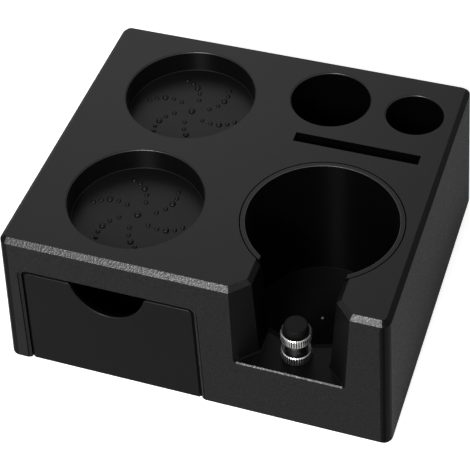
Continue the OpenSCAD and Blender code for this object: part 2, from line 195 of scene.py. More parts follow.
def select_where(piece: bpy.types.Object, kind: str, test: Callable[..., bool]) -> None:
    """Select the parts of the mesh in edit mode that pass a test.

    Args:
        piece: The object in edit mode.
        kind: Which elements to look at: VERT or EDGE.
        test: Says of one bmesh element whether to select it.
    """
    bpy.ops.mesh.select_mode(type=kind)
    bpy.ops.mesh.select_all(action="DESELECT")
    mesh = bmesh.from_edit_mesh(piece.data)
    for element in {"VERT": mesh.verts, "EDGE": mesh.edges}[kind]:
        if test(element):
            element.select_set(True)
    mesh.select_flush_mode()
    bmesh.update_edit_mesh(piece.data)


def is_upright(edge: bmesh.types.BMEdge) -> bool:
    """Say whether an edge of a box or a tray runs up."""
    return abs(edge.verts[0].co.z - edge.verts[1].co.z) > MM


def settle(piece: bpy.types.Object) -> None:
    """Move an object's place into its mesh, so that it sits at the origin.

    Args:
        piece: The object to settle.
    """
    activate(piece)
    bpy.ops.object.transform_apply(location=True, rotation=True, scale=True)


def copied(piece: bpy.types.Object, name: str, move: Sequence[float]) -> bpy.types.Object:
    """Copy a settled piece, with a mesh of its own, to another place.

    Args:
        piece: The piece to copy.
        name: Name of the copy.
        move: The way from the piece to its copy, in metres.

    Returns:
        The copy, settled at the origin.
    """
    activate(piece)
    bpy.ops.object.duplicate(linked=False)
    part = bpy.context.object
    part.name = name
    part.location = move
    settle(part)
    return part


def block(name: str, low: Sequence[float], high: Sequence[float]) -> bpy.types.Object:
    """Add a rectangular block between two corners.

    Args:
        name: Name of the new object.
        low: Lowest corner, in metres.
        high: Highest corner, in metres.

    Returns:
        The block, settled at the origin.
    """
    deselect_all()
    centre = [(a + b) / 2 for a, b in zip(low, high)]
    bpy.ops.mesh.primitive_cube_add(size=1, location=centre)
    piece = bpy.context.object
    piece.name = name
    piece.scale = [b - a for a, b in zip(low, high)]
    settle(piece)
    return piece


def trace(name: str, points: Sequence[Point], closed: bool) -> bpy.types.Object:
    """Extrude one vertex along a line of points.

    Args:
        name: Name of the new object.
        points: The points of the line, in metres.
        closed: Whether the last point is joined back to the first and the outline filled.

    Returns:
        The object, left in edit mode with all of it selected.
    """
    deselect_all()
    bpy.ops.mesh.primitive_plane_add(size=MM, location=points[0])
    piece = bpy.context.object
    piece.name = name
    settle(piece)
    bpy.ops.object.mode_set(mode="EDIT")
    bpy.ops.mesh.select_mode(type="VERT")
    bpy.ops.mesh.select_all(action="SELECT")
    bpy.ops.mesh.merge(type="CENTER")
    here = Vector(points[0])
    for point in points[1:]:
        step = Vector(point) - here
        bpy.ops.mesh.extrude_region_move(TRANSFORM_OT_translate={"value": step})
        here = Vector(point)
    bpy.ops.mesh.select_all(action="SELECT")
    if closed:
        bpy.ops.mesh.edge_face_add()
    return piece


def weld() -> None:
    """Merge double points of the mesh in edit mode and take out faces without area."""
    bpy.ops.mesh.select_all(action="SELECT")
    bpy.ops.mesh.remove_doubles(threshold=WELD_GAP)
    bpy.ops.mesh.dissolve_degenerate(threshold=SLIVER)


def face_outwards() -> None:
    """Turn all faces of the mesh in edit mode outwards."""
    bpy.ops.mesh.select_all(action="SELECT")
    bpy.ops.mesh.normals_make_consistent(inside=False)


def prism(name: str, outline: Sequence[Point], push: Sequence[float]) -> bpy.types.Object:
    """Extrude a filled outline.

    Args:
        name: Name of the new object.
        outline: Corners of the outline, in metres.
        push: The vector that it is extruded by.

    Returns:
        The closed prism.
    """
    piece = trace(name, outline, closed=True)
    bpy.ops.mesh.extrude_region_move(TRANSFORM_OT_translate={"value": Vector(push)})
    face_outwards()
    close_mesh()
    return piece


def loft(name: str, rings: Sequence[Sequence[Point]]) -> bpy.types.Object:
    """Join outlines of equal length into one closed solid.

    Args:
        name: Name of the new object.
        rings: The outlines, from one end to the other.

    Returns:
        The closed solid.
    """
    parts = []
    for index, ring in enumerate(rings):
        part = trace(f"{name}_{index}", ring, closed=True)
        bpy.ops.mesh.delete(type="ONLY_FACE")
        close_mesh()
        parts.append(part)
    piece = join(parts)
    piece.name = name
    open_mesh(piece)
    bpy.ops.mesh.select_all(action="SELECT")
    bpy.ops.mesh.bridge_edge_loops()
    bpy.ops.mesh.select_mode(type="EDGE")
    bpy.ops.mesh.select_all(action="SELECT")
    bpy.ops.mesh.fill_holes(sides=0)
    face_outwards()
    close_mesh()
    return piece


def lathe(name: str, profile: Sequence[tuple[float, float]], centre: Sequence[float],
          steps: int) -> bpy.types.Object:
    """Spin a profile about an upright axis.

    Args:
        name: Name of the new object.
        profile: Radius and height of each point, from the axis back to the axis.
        centre: X and Y of the axis.
        steps: Number of segments round the axis.

    Returns:
        The closed round solid.
    """
    x, y = centre[:2]
    piece = trace(name, [(x + radius, y, z) for radius, z in profile], closed=False)
    bpy.ops.mesh.spin(steps=steps, angle=2 * math.pi, center=(x, y, 0), axis=(0, 0, 1))
    weld()
    face_outwards()
    close_mesh()
    return piece


def join(parts: Sequence[bpy.types.Object]) -> bpy.types.Object:
    """Join objects into the first of them.

    Args:
        parts: The objects; the first keeps its name.

    Returns:
        The joined object.
    """
    activate(parts[0])
    for part in parts[1:]:
        part.select_set(True)
    if len(parts) > 1:
        bpy.ops.object.join()
    return parts[0]


def combine(piece: bpy.types.Object, tools: Iterable[bpy.types.Object],
            operation: str = "DIFFERENCE") -> None:
    """Cut tools out of a piece, or add them to it, and delete them.

    Args:
        piece: The object to change.
        tools: The objects that are cut out or added.
        operation: DIFFERENCE or UNION.
    """
    for tool in tools:
        activate(piece)
        step = piece.modifiers.new("cut", "BOOLEAN")
        step.operation = operation
        step.solver = "EXACT"
        step.object = tool
        bpy.ops.object.modifier_apply(modifier=step.name)
        bpy.data.objects.remove(tool, do_unlink=True)


def clean(piece: bpy.types.Object) -> None:
    """Weld a finished mesh.

    Args:
        piece: The object to clean.
    """
    open_mesh(piece)
    weld()
    close_mesh()


def soften(piece: bpy.types.Object, width: float, segments: int = 2) -> None:
    """Round the sharp edges of a piece and shade it smooth.

    Args:
        piece: The object to finish.
        width: Width of the rounding, in metres.
        segments: Number of faces across the rounding.
    """
    activate(piece)
    step = piece.modifiers.new("edges", "BEVEL")
    step.width = width
    step.segments = segments
    step.limit_method = "ANGLE"
    step.angle_limit = ROUNDED_FROM
    step.miter_outer = "MITER_ARC"
    bpy.ops.object.modifier_apply(modifier=step.name)
    clean(piece)
    bpy.ops.object.shade_smooth_by_angle(angle=SMOOTH_UP_TO)
    flatten = piece.modifiers.new("shading", "WEIGHTED_NORMAL")
    flatten.keep_sharp = True
    flatten.weight = 100
    bpy.ops.object.modifier_apply(modifier=flatten.name)


def arc(centre: tuple[float, float], radius: float, start: float, end: float,
        steps: int) -> list[tuple[float, float]]:
    """Points along an arc in a plane.

    Args:
        centre: The arc's centre.
        radius: The arc's radius.
        start: Angle of the first point, in degrees.
        end: Angle of the last point, in degrees.
        steps: Number of stretches.

    Returns:
        The points, from start to end.
    """
    angles = [math.radians(start + (end - start) * i / steps) for i in range(steps + 1)]
    return [(centre[0] + radius * math.cos(a), centre[1] + radius * math.sin(a)) for a in angles]


# Finishes, with copies that paint light and shade


class Nodes:
    """Builds the node tree of one material."""

    def __init__(self, name: str) -> None:
        """Start a material with a shader and object coordinates.

        Args:
            name: Name of the material.
        """
        self.material = bpy.data.materials.new(name)
        self.material.use_nodes = True
        self.tree = self.material.node_tree
        self.shader = self.tree.nodes["Principled BSDF"]
        self.coordinates = self.add("ShaderNodeTexCoord").outputs["Object"]

    def add(self, kind: str, **values: object) -> bpy.types.Node:
        """Add a node and set its properties or its unlinked inputs.

        Args:
            kind: Blender's name of the node type.
            values: Properties by name; a trailing underscore marks an input socket.

        Returns:
            The new node.
        """
        node = self.tree.nodes.new(kind)
        for key, value in values.items():
            if key.endswith("_"):
                node.inputs[key[:-1].replace("_", " ")].default_value = value
            else:
                setattr(node, key, value)
        return node

    def link(self, source: bpy.types.NodeSocket, target: bpy.types.NodeSocket) -> None:
        """Join an output to an input."""
        self.tree.links.new(source, target)

    def noise(self, scale: float, detail: float = 2.0,
              stretch: Point = (1, 1, 1)) -> bpy.types.NodeSocket:
        """Add a noise pattern.

        Args:
            scale: Cells per metre.
            detail: Number of finer layers.
            stretch: Factor on each axis of the coordinates.

        Returns:
            The pattern's value, about 0.5.
        """
        place = self.add("ShaderNodeMapping")
        place.inputs["Scale"].default_value = stretch
        self.link(self.coordinates, place.inputs["Vector"])
        node = self.add("ShaderNodeTexNoise", Scale_=scale, Detail_=detail)
        self.link(place.outputs["Vector"], node.inputs["Vector"])
        return node.outputs["Fac"]

    def ramp(self, value: bpy.types.NodeSocket, stops: Sequence[tuple[float, float]],
             target: bpy.types.NodeSocket) -> None:
        """Map a value through two stops into a number socket.

        Args:
            value: The incoming value.
            stops: Two pairs of input and output value.
            target: The socket that takes the result.
        """
        node = self.add("ShaderNodeMapRange", clamp=True)
        (in_low, out_low), (in_high, out_high) = stops
        node.inputs["From Min"].default_value = in_low
        node.inputs["From Max"].default_value = in_high
        node.inputs["To Min"].default_value = out_low
        node.inputs["To Max"].default_value = out_high
        self.link(value, node.inputs["Value"])
        self.link(node.outputs["Result"], target)

    def bump(self, height: bpy.types.NodeSocket, strength: float, depth: float,
             below: bpy.types.NodeSocket | None = None) -> bpy.types.NodeSocket:
        """Add a relief.

        Args:
            height: The pattern that gives the relief.
            strength: Share of the relief that shows.
            depth: Height of the relief, in metres.
            below: The relief that this one lies on.

        Returns:
            The changed normal.
        """
        node = self.add("ShaderNodeBump", Strength_=strength, Distance_=depth)
        self.link(height, node.inputs["Height"])
        if below is not None:
            self.link(below, node.inputs["Normal"])
        return node.outputs["Normal"]

    def draw_upwards(self, strength: float = 0.95) -> None:
        """Stretch highlights upwards, as marks that run round an upright wall do.

        Args:
            strength: Share of the stretch.
        """
        upright = self.add("ShaderNodeCombineXYZ", Z_=1.0)
        self.link(upright.outputs["Vector"], self.shader.inputs["Tangent"])
        self.shader.inputs["Anisotropic"].default_value = strength

    def tint(self, value: bpy.types.NodeSocket, dark: Point, light: Point,
             band: tuple[float, float] = (0.35, 0.65)) -> None:
        """Mix two colours into the base colour.

        Args:
            value: Pattern that picks between them.
            dark: Colour at the lower end of the band.
            light: Colour at the upper end of the band.
            band: Values of the pattern that the colours change between.
        """
        node = self.add("ShaderNodeValToRGB")
        for stop, position, colour in zip(node.color_ramp.elements, band, (dark, light)):
            stop.position = position
            stop.color = (*colour, 1)
        self.link(value, node.inputs["Fac"])
        self.link(node.outputs["Color"], self.shader.inputs["Base Color"])


@dataclass(frozen=True)
class MouldedPlastic:
    """Black ABS with an eroded texture or with marks turned round an upright wall."""

    name: str
    shade: float = 0.004
    roughness: float = 0.45
    sheen_level: float = 0.28
    grain_depth: float = 0.04 * MM
    grain_scale: float = 1500.0
    sparkle: float = 0.5
    contrast: float = 0.25
    blue: float = 1.02
    spread: float = 0.12
    coarser: float = 16.0
    waves: float = 0.25
    waviness: float = 0.04 * MM
    turned: bool = False

    def build(self) -> bpy.types.Material:
        """Make the material.

        Returns:
            A dark plastic whose fine grain catches the light.
        """
        nodes = Nodes(self.name)
        nodes.shader.inputs["Specular IOR Level"].default_value = self.sheen_level
        grain = nodes.noise(self.grain_scale, 3.0)
        mottle = nodes.noise(self.grain_scale / self.coarser, 2.0)
        dark, light = self.shade * (1 - self.contrast), self.shade * (1 + self.contrast)
        nodes.tint(grain, (dark,) * 3, (light, light, light * self.blue))
        spread = self.spread * self.sparkle
        nodes.ramp(grain, [(0.35, self.roughness + spread), (0.7, self.roughness - spread)],
                   nodes.shader.inputs["Roughness"])
        slow = nodes.bump(mottle, self.waves, self.waviness)
        fine = nodes.bump(grain, self.sparkle, self.grain_depth, below=slow)
        nodes.link(fine, nodes.shader.inputs["Normal"])
        if self.turned:
            nodes.draw_upwards()
        return nodes.material


@dataclass(frozen=True)
class PolishedNickel:
    """Turned and plated brass with faint tool marks."""

    name: str
    colour: Point
    roughness: float
    worn: float = 0.92
    rougher: float = 1.8
    smudges: float = 260.0
    rings: float = 900.0
    ring_share: float = 0.12
    ring_depth: float = 0.01 * MM

    def build(self) -> bpy.types.Material:
        """Make the material.

        Returns:
            A bright metal with fine rings.
        """
        nodes = Nodes(self.name)
        nodes.shader.inputs["Metallic"].default_value = 1.0
        rings = nodes.noise(self.rings, 2.0, stretch=(0.05, 0.05, 4.0))
        smudge = nodes.noise(self.smudges, 3.0)
        darker = tuple(c * self.worn for c in self.colour)
        nodes.tint(smudge, darker, self.colour)
        nodes.ramp(smudge, [(0.3, self.roughness), (0.7, self.roughness * self.rougher)],
                   nodes.shader.inputs["Roughness"])
        relief = nodes.bump(rings, self.ring_share, self.ring_depth)
        nodes.link(relief, nodes.shader.inputs["Normal"])
        return nodes.material


@dataclass(frozen=True)
class SoftRubber:
    """Matt black rubber."""

    name: str
    shade: float = 0.003
    contrast: float = 0.2
    roughness: float = 0.45
    rougher: float = 0.1
    sheen_level: float = 0.065
    powder: float = 2400.0
    powder_share: float = 0.3
    powder_depth: float = 0.02 * MM

    def build(self) -> bpy.types.Material:
        """Make the material.

        Returns:
            A dull black with a powdery relief.
        """
        nodes = Nodes(self.name)
        nodes.shader.inputs["Specular IOR Level"].default_value = self.sheen_level
        powder = nodes.noise(self.powder, 3.0)
        dark, light = self.shade * (1 - self.contrast), self.shade * (1 + self.contrast)
        nodes.tint(powder, (dark,) * 3, (light,) * 3)
        nodes.ramp(powder, [(0.3, self.roughness), (0.7, self.roughness + self.rougher)],
                   nodes.shader.inputs["Roughness"])
        relief = nodes.bump(powder, self.powder_share, self.powder_depth)
        nodes.link(relief, nodes.shader.inputs["Normal"])
        return nodes.material


@dataclass(frozen=True)
class ZincPlate:
    """Dull plated steel of the base screws."""

    name: str
    colour: Point = (0.46, 0.47, 0.48)
    worn: float = 0.8
    roughness: tuple[float, float] = (0.3, 0.5)
    clouds: float = 500.0

    def build(self) -> bpy.types.Material:
        """Make the material.

        Returns:
            A grey metal with cloudy roughness.
        """
        nodes = Nodes(self.name)
        nodes.shader.inputs["Metallic"].default_value = 1.0
        cloud = nodes.noise(self.clouds, 4.0)
        nodes.tint(cloud, tuple(c * self.worn for c in self.colour), self.colour)
        low, high = self.roughness
        nodes.ramp(cloud, [(0.3, low), (0.7, high)], nodes.shader.inputs["Roughness"])
        return nodes.material


def dress(piece: bpy.types.Object, *materials: bpy.types.Material) -> None:
    """Give a piece its materials, the first on every face.

    Args:
        piece: The object to dress.
        materials: Its materials, in slot order.
    """
    piece.data.materials.clear()
    for material in materials:
        piece.data.materials.append(material)


def install(piece: bpy.types.Object, body: Body, slot: Slot, *nodes: str) -> None:
    """Let a finished piece ride on its body and stand for CAD nodes.

    Args:
        piece: The finished piece.
        body: The moving group that carries it.
        slot: The material slot of the imported record; not used.
        nodes: The CAD nodes that it replaces.
    """
    settle(piece)
    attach(piece, body.value)
    if nodes:
        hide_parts(*nodes)
    triangles = sum(len(face.vertices) - 2 for face in piece.data.polygons)
    LOG.info("%s: %d triangles on %s", piece.name, triangles, body.value)


# Sizes in millimetres, heights above the counter


def inwards(shift: float) -> float:
    """How far a mitred corner of 135 degrees moves when both its walls move in.

    Args:
        shift: Distance that the walls move.

    Returns:
        The move of the corner along the straight wall.
    """
    return shift * math.tan(math.radians(22.5))


def metres(*values: float) -> tuple[float, ...]:
    """Turn millimetres into metres.

    Args:
        values: Lengths in millimetres.

    Returns:
        The same lengths in metres.
    """
    return tuple(value * MM for value in values)


@dataclass(frozen=True)
class ShellSize:
    """Outer form of the moulded housing.

    Attributes:
        draft: Lean of the walls, in degrees.
        corner: Width of the rounding at the four upright corners.
        bevel: Width of the bevel round the deck.
        wall: Thickness of the walls.
        bay_right: X of the right side of the drawer bay.
        bay_top: Height of the top of the drawer bay.
        pocket_top: Height of the top of the base plate's pocket.
        below: Height that the cutters start at.
    """

    width: float = 200.0
    depth: float = 176.6
    bottom: float = 1.5
    top: float = 83.3
    draft: float = 3.0
    corner: float = 4.8
    bevel: float = 2.35
    wall: float = 2.5
    bay_right: float = 4.8
    bay_top: float = 69.2
    pocket_top: float = 4.3
    below: float = -1.0

    @property
    def lean(self) -> float:
        """Run of a wall for each millimetre of its height."""
        return math.tan(math.radians(self.draft))

    def front(self, z: float) -> float:
        """Place of the front face at a height.

        Args:
            z: Height above the counter.

        Returns:
            Its Y, in millimetres.
        """
        return -self.depth / 2 + self.lean * (z - self.bottom)


@dataclass(frozen=True)
class RoundHole:
    """A round hollow in the deck.

    Attributes:
        radius: Radius at the deck.
        floor: Height of the floor.
        draft: Lean of the wall, in degrees.
        floor_round: Radius between wall and floor.
        rim_round: Radius of the rim.
    """

    name: str
    x: float
    y: float
    radius: float
    floor: float
    draft: float
    floor_round: float
    rim_round: float = 0.8


@dataclass(frozen=True)
class SlotSize:
    """The narrow slot in the deck."""

    x: float = 51.25
    y: float = 22.85
    length: float = 64.0
    width: float = 6.5
    floor: float = 39.3


@dataclass(frozen=True)
class WellSize:
    """The portafilter well and its liner.

    Attributes:
        inner: Inner radius of the liner at the deck.
        outer: Outer radius of the liner at the deck.
        floor: Height of the liner's floor.
        base: Height of the liner's underside.
        draft: Lean of the walls, in degrees.
        gap: Distance from the liner to its seat.
        rim: Radius of the inner rim.
        play: Distance that the ring stands in, for the dark line round it.
        foot_round: Radius between the inner wall and the floor.
        foot_chamfer: Bevel of the lower outer edge.
        button: Radius of the gate mark.
    """

    x: float = 48.9
    y: float = -29.1
    inner: float = 36.8
    outer: float = 39.5
    floor: float = 11.5
    base: float = 9.0
    draft: float = 1.3
    gap: float = 0.15
    rim: float = 0.35
    play: float = 0.45
    foot_round: float = 0.4
    foot_chamfer: float = 1.0
    button: float = 0.75

    @property
    def taper(self) -> float:
        """Run of a well wall for each millimetre of its height."""
        return math.tan(math.radians(self.draft))


@dataclass(frozen=True)
class NotchSize:
    """The splayed notch for the handle.

    Attributes:
        half: Half the width where the walls meet the bevel.
        level: Height where the walls meet the bevel.
        floor: Height of the floor.
        draft: Lean of the walls, in degrees.
        corner_y: Y where the walls begin to splay.
        corner_round: Radius of that corner.
        corner_steps: Stretches in that corner.
        floor_round: Radius between the walls and the floor.
        floor_steps: Stretches in that radius.
        sill: Bevel on the front edge of the floor.
        back: Y that the cutter reaches into the well.
        front: Y that the cutter starts at, in front of the housing.
    """

    half: float = 20.0
    level: float = 80.95
    floor: float = 34.7
    draft: float = 3.0
    corner_y: float = -75.44
    corner_round: float = 1.2
    corner_steps: int = 4
    floor_round: float = 1.0
    floor_steps: int = 4
    sill: float = 0.6
    back: float = -49.0
    front: float = -100.0

    @property
    def slope(self) -> float:
        """Run of a notch wall for each millimetre of its height."""
        return math.tan(math.radians(self.draft))


@dataclass(frozen=True)
class DrawerSize:
    """The drawer and its opening, measured in the plane of the leaning front.

    Attributes:
        half: Half the width of the opening, under its upper corners.
        height: Height of the opening.
        side_draft: Lean of the opening's sides, in degrees.
        corner: Radius of the opening's upper corners.
        lip: Depth of the bevel round the opening.
        lip_spread: Width of that bevel.
        lip_step: Depth of the step outside the bevel.
        lip_line: Width of that step.
        through: Depth that the opening's cutter reaches to.
        under: Height that the opening's cutter starts at.
        gap: Distance from the edge of the front to the opening.
        play: Distance from the closer step behind the front to the opening.
        drop: Distance that the upper edge hangs lower than the gap asks for.
        foot_gap: Height of the front's lower edge.
        step: Depth of the closer step behind the outer face.
        seam: Distance that the step reaches past the back of the front.
        front: Thickness of the front.
        moon: Radius of the half-moon.
        moon_rise: Height of its centre above the upper edge.
        moon_ease: Radius at its two ends.
        tray_open: Distance that the room in the tray is cut past its open sides.
        edge: Width of the rounding on the edges.
    """

    x: float = -42.0
    half: float = 44.35
    height: float = 62.4
    side_draft: float = 1.5
    corner: float = 3.0
    lip: float = 0.9
    lip_spread: float = 1.26
    lip_step: float = 0.22
    lip_line: float = 0.5
    through: float = 6.0
    under: float = -3.0
    gap: float = 1.3
    play: float = 0.35
    drop: float = 0.3
    foot_gap: float = 0.0
    step: float = 0.6
    seam: float = 0.2
    front: float = 2.8
    moon: float = 19.0
    moon_rise: float = 1.9
    moon_ease: float = 2.0
    tray_half: float = 41.0
    tray_low: float = 5.3
    tray_top: float = 55.3
    tray_back: float = 65.4
    tray_wall: float = 2.0
    tray_corner: float = 4.0
    tray_open: float = 1.0
    edge: float = 0.4


@dataclass(frozen=True)
class PostSize:
    """The nickel-plated post that carries the handle.

    Attributes:
        foot: Height of the floor that the post stands on.
        ring: Radius of the knurled rings.
        neck: Radius of the neck.
        slit: Gap between the neck and the head.
        rim: Bevel of the rings.
        seat: Radius of the seat of the pad.
        pad: Radius of the pad.
        pad_round: Radius of the pad's upper edge.
        pad_height: Height of the pad above the upper ring.
        pad_flange: Height of the pad's wider foot.
        pad_play: Gap round the pad's foot.
        pad_edge: Width of the rounding on the pad's edges.
        spigot: Radius of the spigot in the floor.
        screw: Radius of the adjusting screw.
        screw_tip: Bevel at the end of the screw.
        bore_play: Gap round the screw.
        chamfer: Bevel at the top of the neck.
        hair: Small distance that keeps two edges apart.
    """

    x: float = 48.9
    y: float = -73.2
    foot: float = 34.7
    ring: float = 7.5
    ring_height: float = 5.2
    neck: float = 5.6
    neck_height: float = 7.0
    slit: float = 0.3
    grooves: int = 40
    groove_depth: float = 0.5
    rim: float = 0.5
    seat: float = 6.5
    seat_depth: float = 0.9
    pad: float = 5.8
    pad_round: float = 0.8
    pad_height: float = 4.4
    pad_flange: float = 0.25
    pad_play: float = 0.1
    pad_edge: float = 0.1
    spigot: float = 4.0
    spigot_length: float = 16.0
    screw: float = 2.5
    screw_length: float = 20.0
    screw_tip: float = 0.4
    bore_play: float = 0.1
    chamfer: float = 0.3
    hair: float = 0.05


class Front:
    """The plane of the leaning front face, for outlines that lie in it."""

    def __init__(self, shell: ShellSize) -> None:
        """Keep the plane.

        Args:
            shell: Size of the housing.
        """
        angle = math.radians(shell.draft)
        self.foot = Vector((0, -shell.depth / 2, shell.bottom))
        self.up = Vector((0, math.sin(angle), math.cos(angle)))
        self.out = Vector((0, -math.cos(angle), math.sin(angle)))

    def place(self, points: Iterable[tuple[float, float]], out: float) -> list[Point]:
        """Lay points in a plane in front of the face.

        Args:
            points: Across and up in the plane, in millimetres.
            out: Distance in front of the face, in millimetres.

        Returns:
            The points in metres.
        """
        side = Vector((1, 0, 0))
        return [tuple((self.foot + side * a + self.up * b + self.out * out) * MM)
                for a, b in points]


def opening_outline(size: DrawerSize, inset: float, bottom: float,
                    corner: float) -> list[tuple[float, float]]:
    """Outline of the drawer opening in the plane of the front.

    Args:
        size: Size of the drawer.
        inset: Distance that the sides and the top are set in.
        bottom: Height of the lower edge.
        corner: Radius of the upper corners.

    Returns:
        The outline, from the lower right corner round to the lower left.
    """
    top = size.height - inset
    half = size.half - inset
    slope = math.tan(math.radians(size.side_draft))
    right = [(half + (top - bottom) * slope, bottom)]
    right += arc((half - corner, top - corner), corner, 0, 90, 6)
    left = [(-x, y) for x, y in reversed(right)]
    return [(size.x + x, y) for x, y in right + left]


def moon_outline(size: DrawerSize, top: float) -> list[tuple[float, float]]:
    """Lower edge of the half-moon in the drawer front, with eased ends.

    Args:
        size: Size of the drawer.
        top: Height of the front's upper edge.

    Returns:
        The line from the right end to the left end.
    """
    drop = size.moon_rise + size.moon_ease
    reach = size.moon + size.moon_ease
    touch = math.degrees(math.asin(drop / reach))
    ease_x = reach * math.cos(math.radians(touch))
    centre = (0.0, top + size.moon_rise)
    right = arc((ease_x, top - size.moon_ease), size.moon_ease, 90, 180 - touch, 5)
    bowl = arc(centre, size.moon, -touch, -90, 14)
    half = right + bowl[1:]
    left = [(-x, y) for x, y in reversed(half[:-1])]
    return [(size.x + x, y) for x, y in half + left]


def hole_profile(hole: RoundHole, top: float) -> list[tuple[float, float]]:
    """Profile of the cutter for a round hollow.

    Args:
        hole: The hollow.
        top: Height of the deck.

    Returns:
        Radius and height of each point, in metres.
    """
    low = hole.radius - (top - hole.floor) * math.tan(math.radians(hole.draft))
    floor_arc = arc((low - hole.floor_round, hole.floor + hole.floor_round), hole.floor_round,
                    -90, 0, 5)
    rim_arc = arc((hole.radius + hole.rim_round, top - hole.rim_round), hole.rim_round, 180, 90, 5)
    above = top + CLEAR_OF_TOP
    points = [(0.0, hole.floor), *floor_arc, *rim_arc]
    points += [(hole.radius + hole.rim_round, above), (0.0, above)]
    return [metres(r, z) for r, z in points]


@dataclass(frozen=True)
class HousingMargins:
    """Limits that tell the areas of the housing apart: distances and shares of a normal.

    Attributes:
        level: Least share of a face that looks one way.
        flat: Least share of a face in the plane of the deck.
        upright: Least share of the well's wall in the notch.
        deck: Depth below an upper edge that belongs to it.
        notch_side: Reach of the notch beside its half width.
        notch_skin: Distance behind the front where the notch starts.
        notch_back: Reach of the notch short of its cutter's end.
        sill: Height of the area of the sill.
        bevel_lean: Shares between which a face is a bevel.
        bevel_turn: Most sideways share of a bevel.
        mitre_turn: Least sideways share of a bevel beside the notch.
        mitre_skin: Least distance of such a bevel behind the front.
        wall_top: Height below which the inside of the walls lies.
        wall_skin: Least distance of the inside from the outside.
        line: Depths between which the step round the drawer lies, painted near black as a line of
            shade.
        line_top: Height below which that line lies.
        corner_turn: Sideways shares between which a corner is round.
        corner_run: Width of the corners.
        corner_from: Least distance of the corners from the middle.
        rim: Depth of the rims of the hollows.
        recess_foot: Height of the area of the recess floors.
        slot_edge: Reach of the slot past its outline.
        hole_edge: Reach of a round hollow past its outline.
    """

    level: float = 0.9
    flat: float = 0.95
    upright: float = 0.95
    deck: float = 0.5
    notch_side: float = 12.0
    notch_skin: float = 0.8
    notch_back: float = 4.0
    sill: float = 2.0
    bevel_lean: tuple[float, float] = (0.5, 0.85)
    bevel_turn: float = 0.2
    mitre_turn: float = 0.4
    mitre_skin: float = 5.0
    wall_top: float = 72.0
    wall_skin: float = 1.2
    line: tuple[float, float] = (0.1, 0.5)
    line_top: float = 63.0
    corner_turn: tuple[float, float] = (0.1, 0.995)
    corner_run: float = 5.5
    corner_from: float = 80.0
    rim: float = 0.9
    recess_foot: float = 0.4
    slot_edge: float = 0.1
    hole_edge: float = 0.4


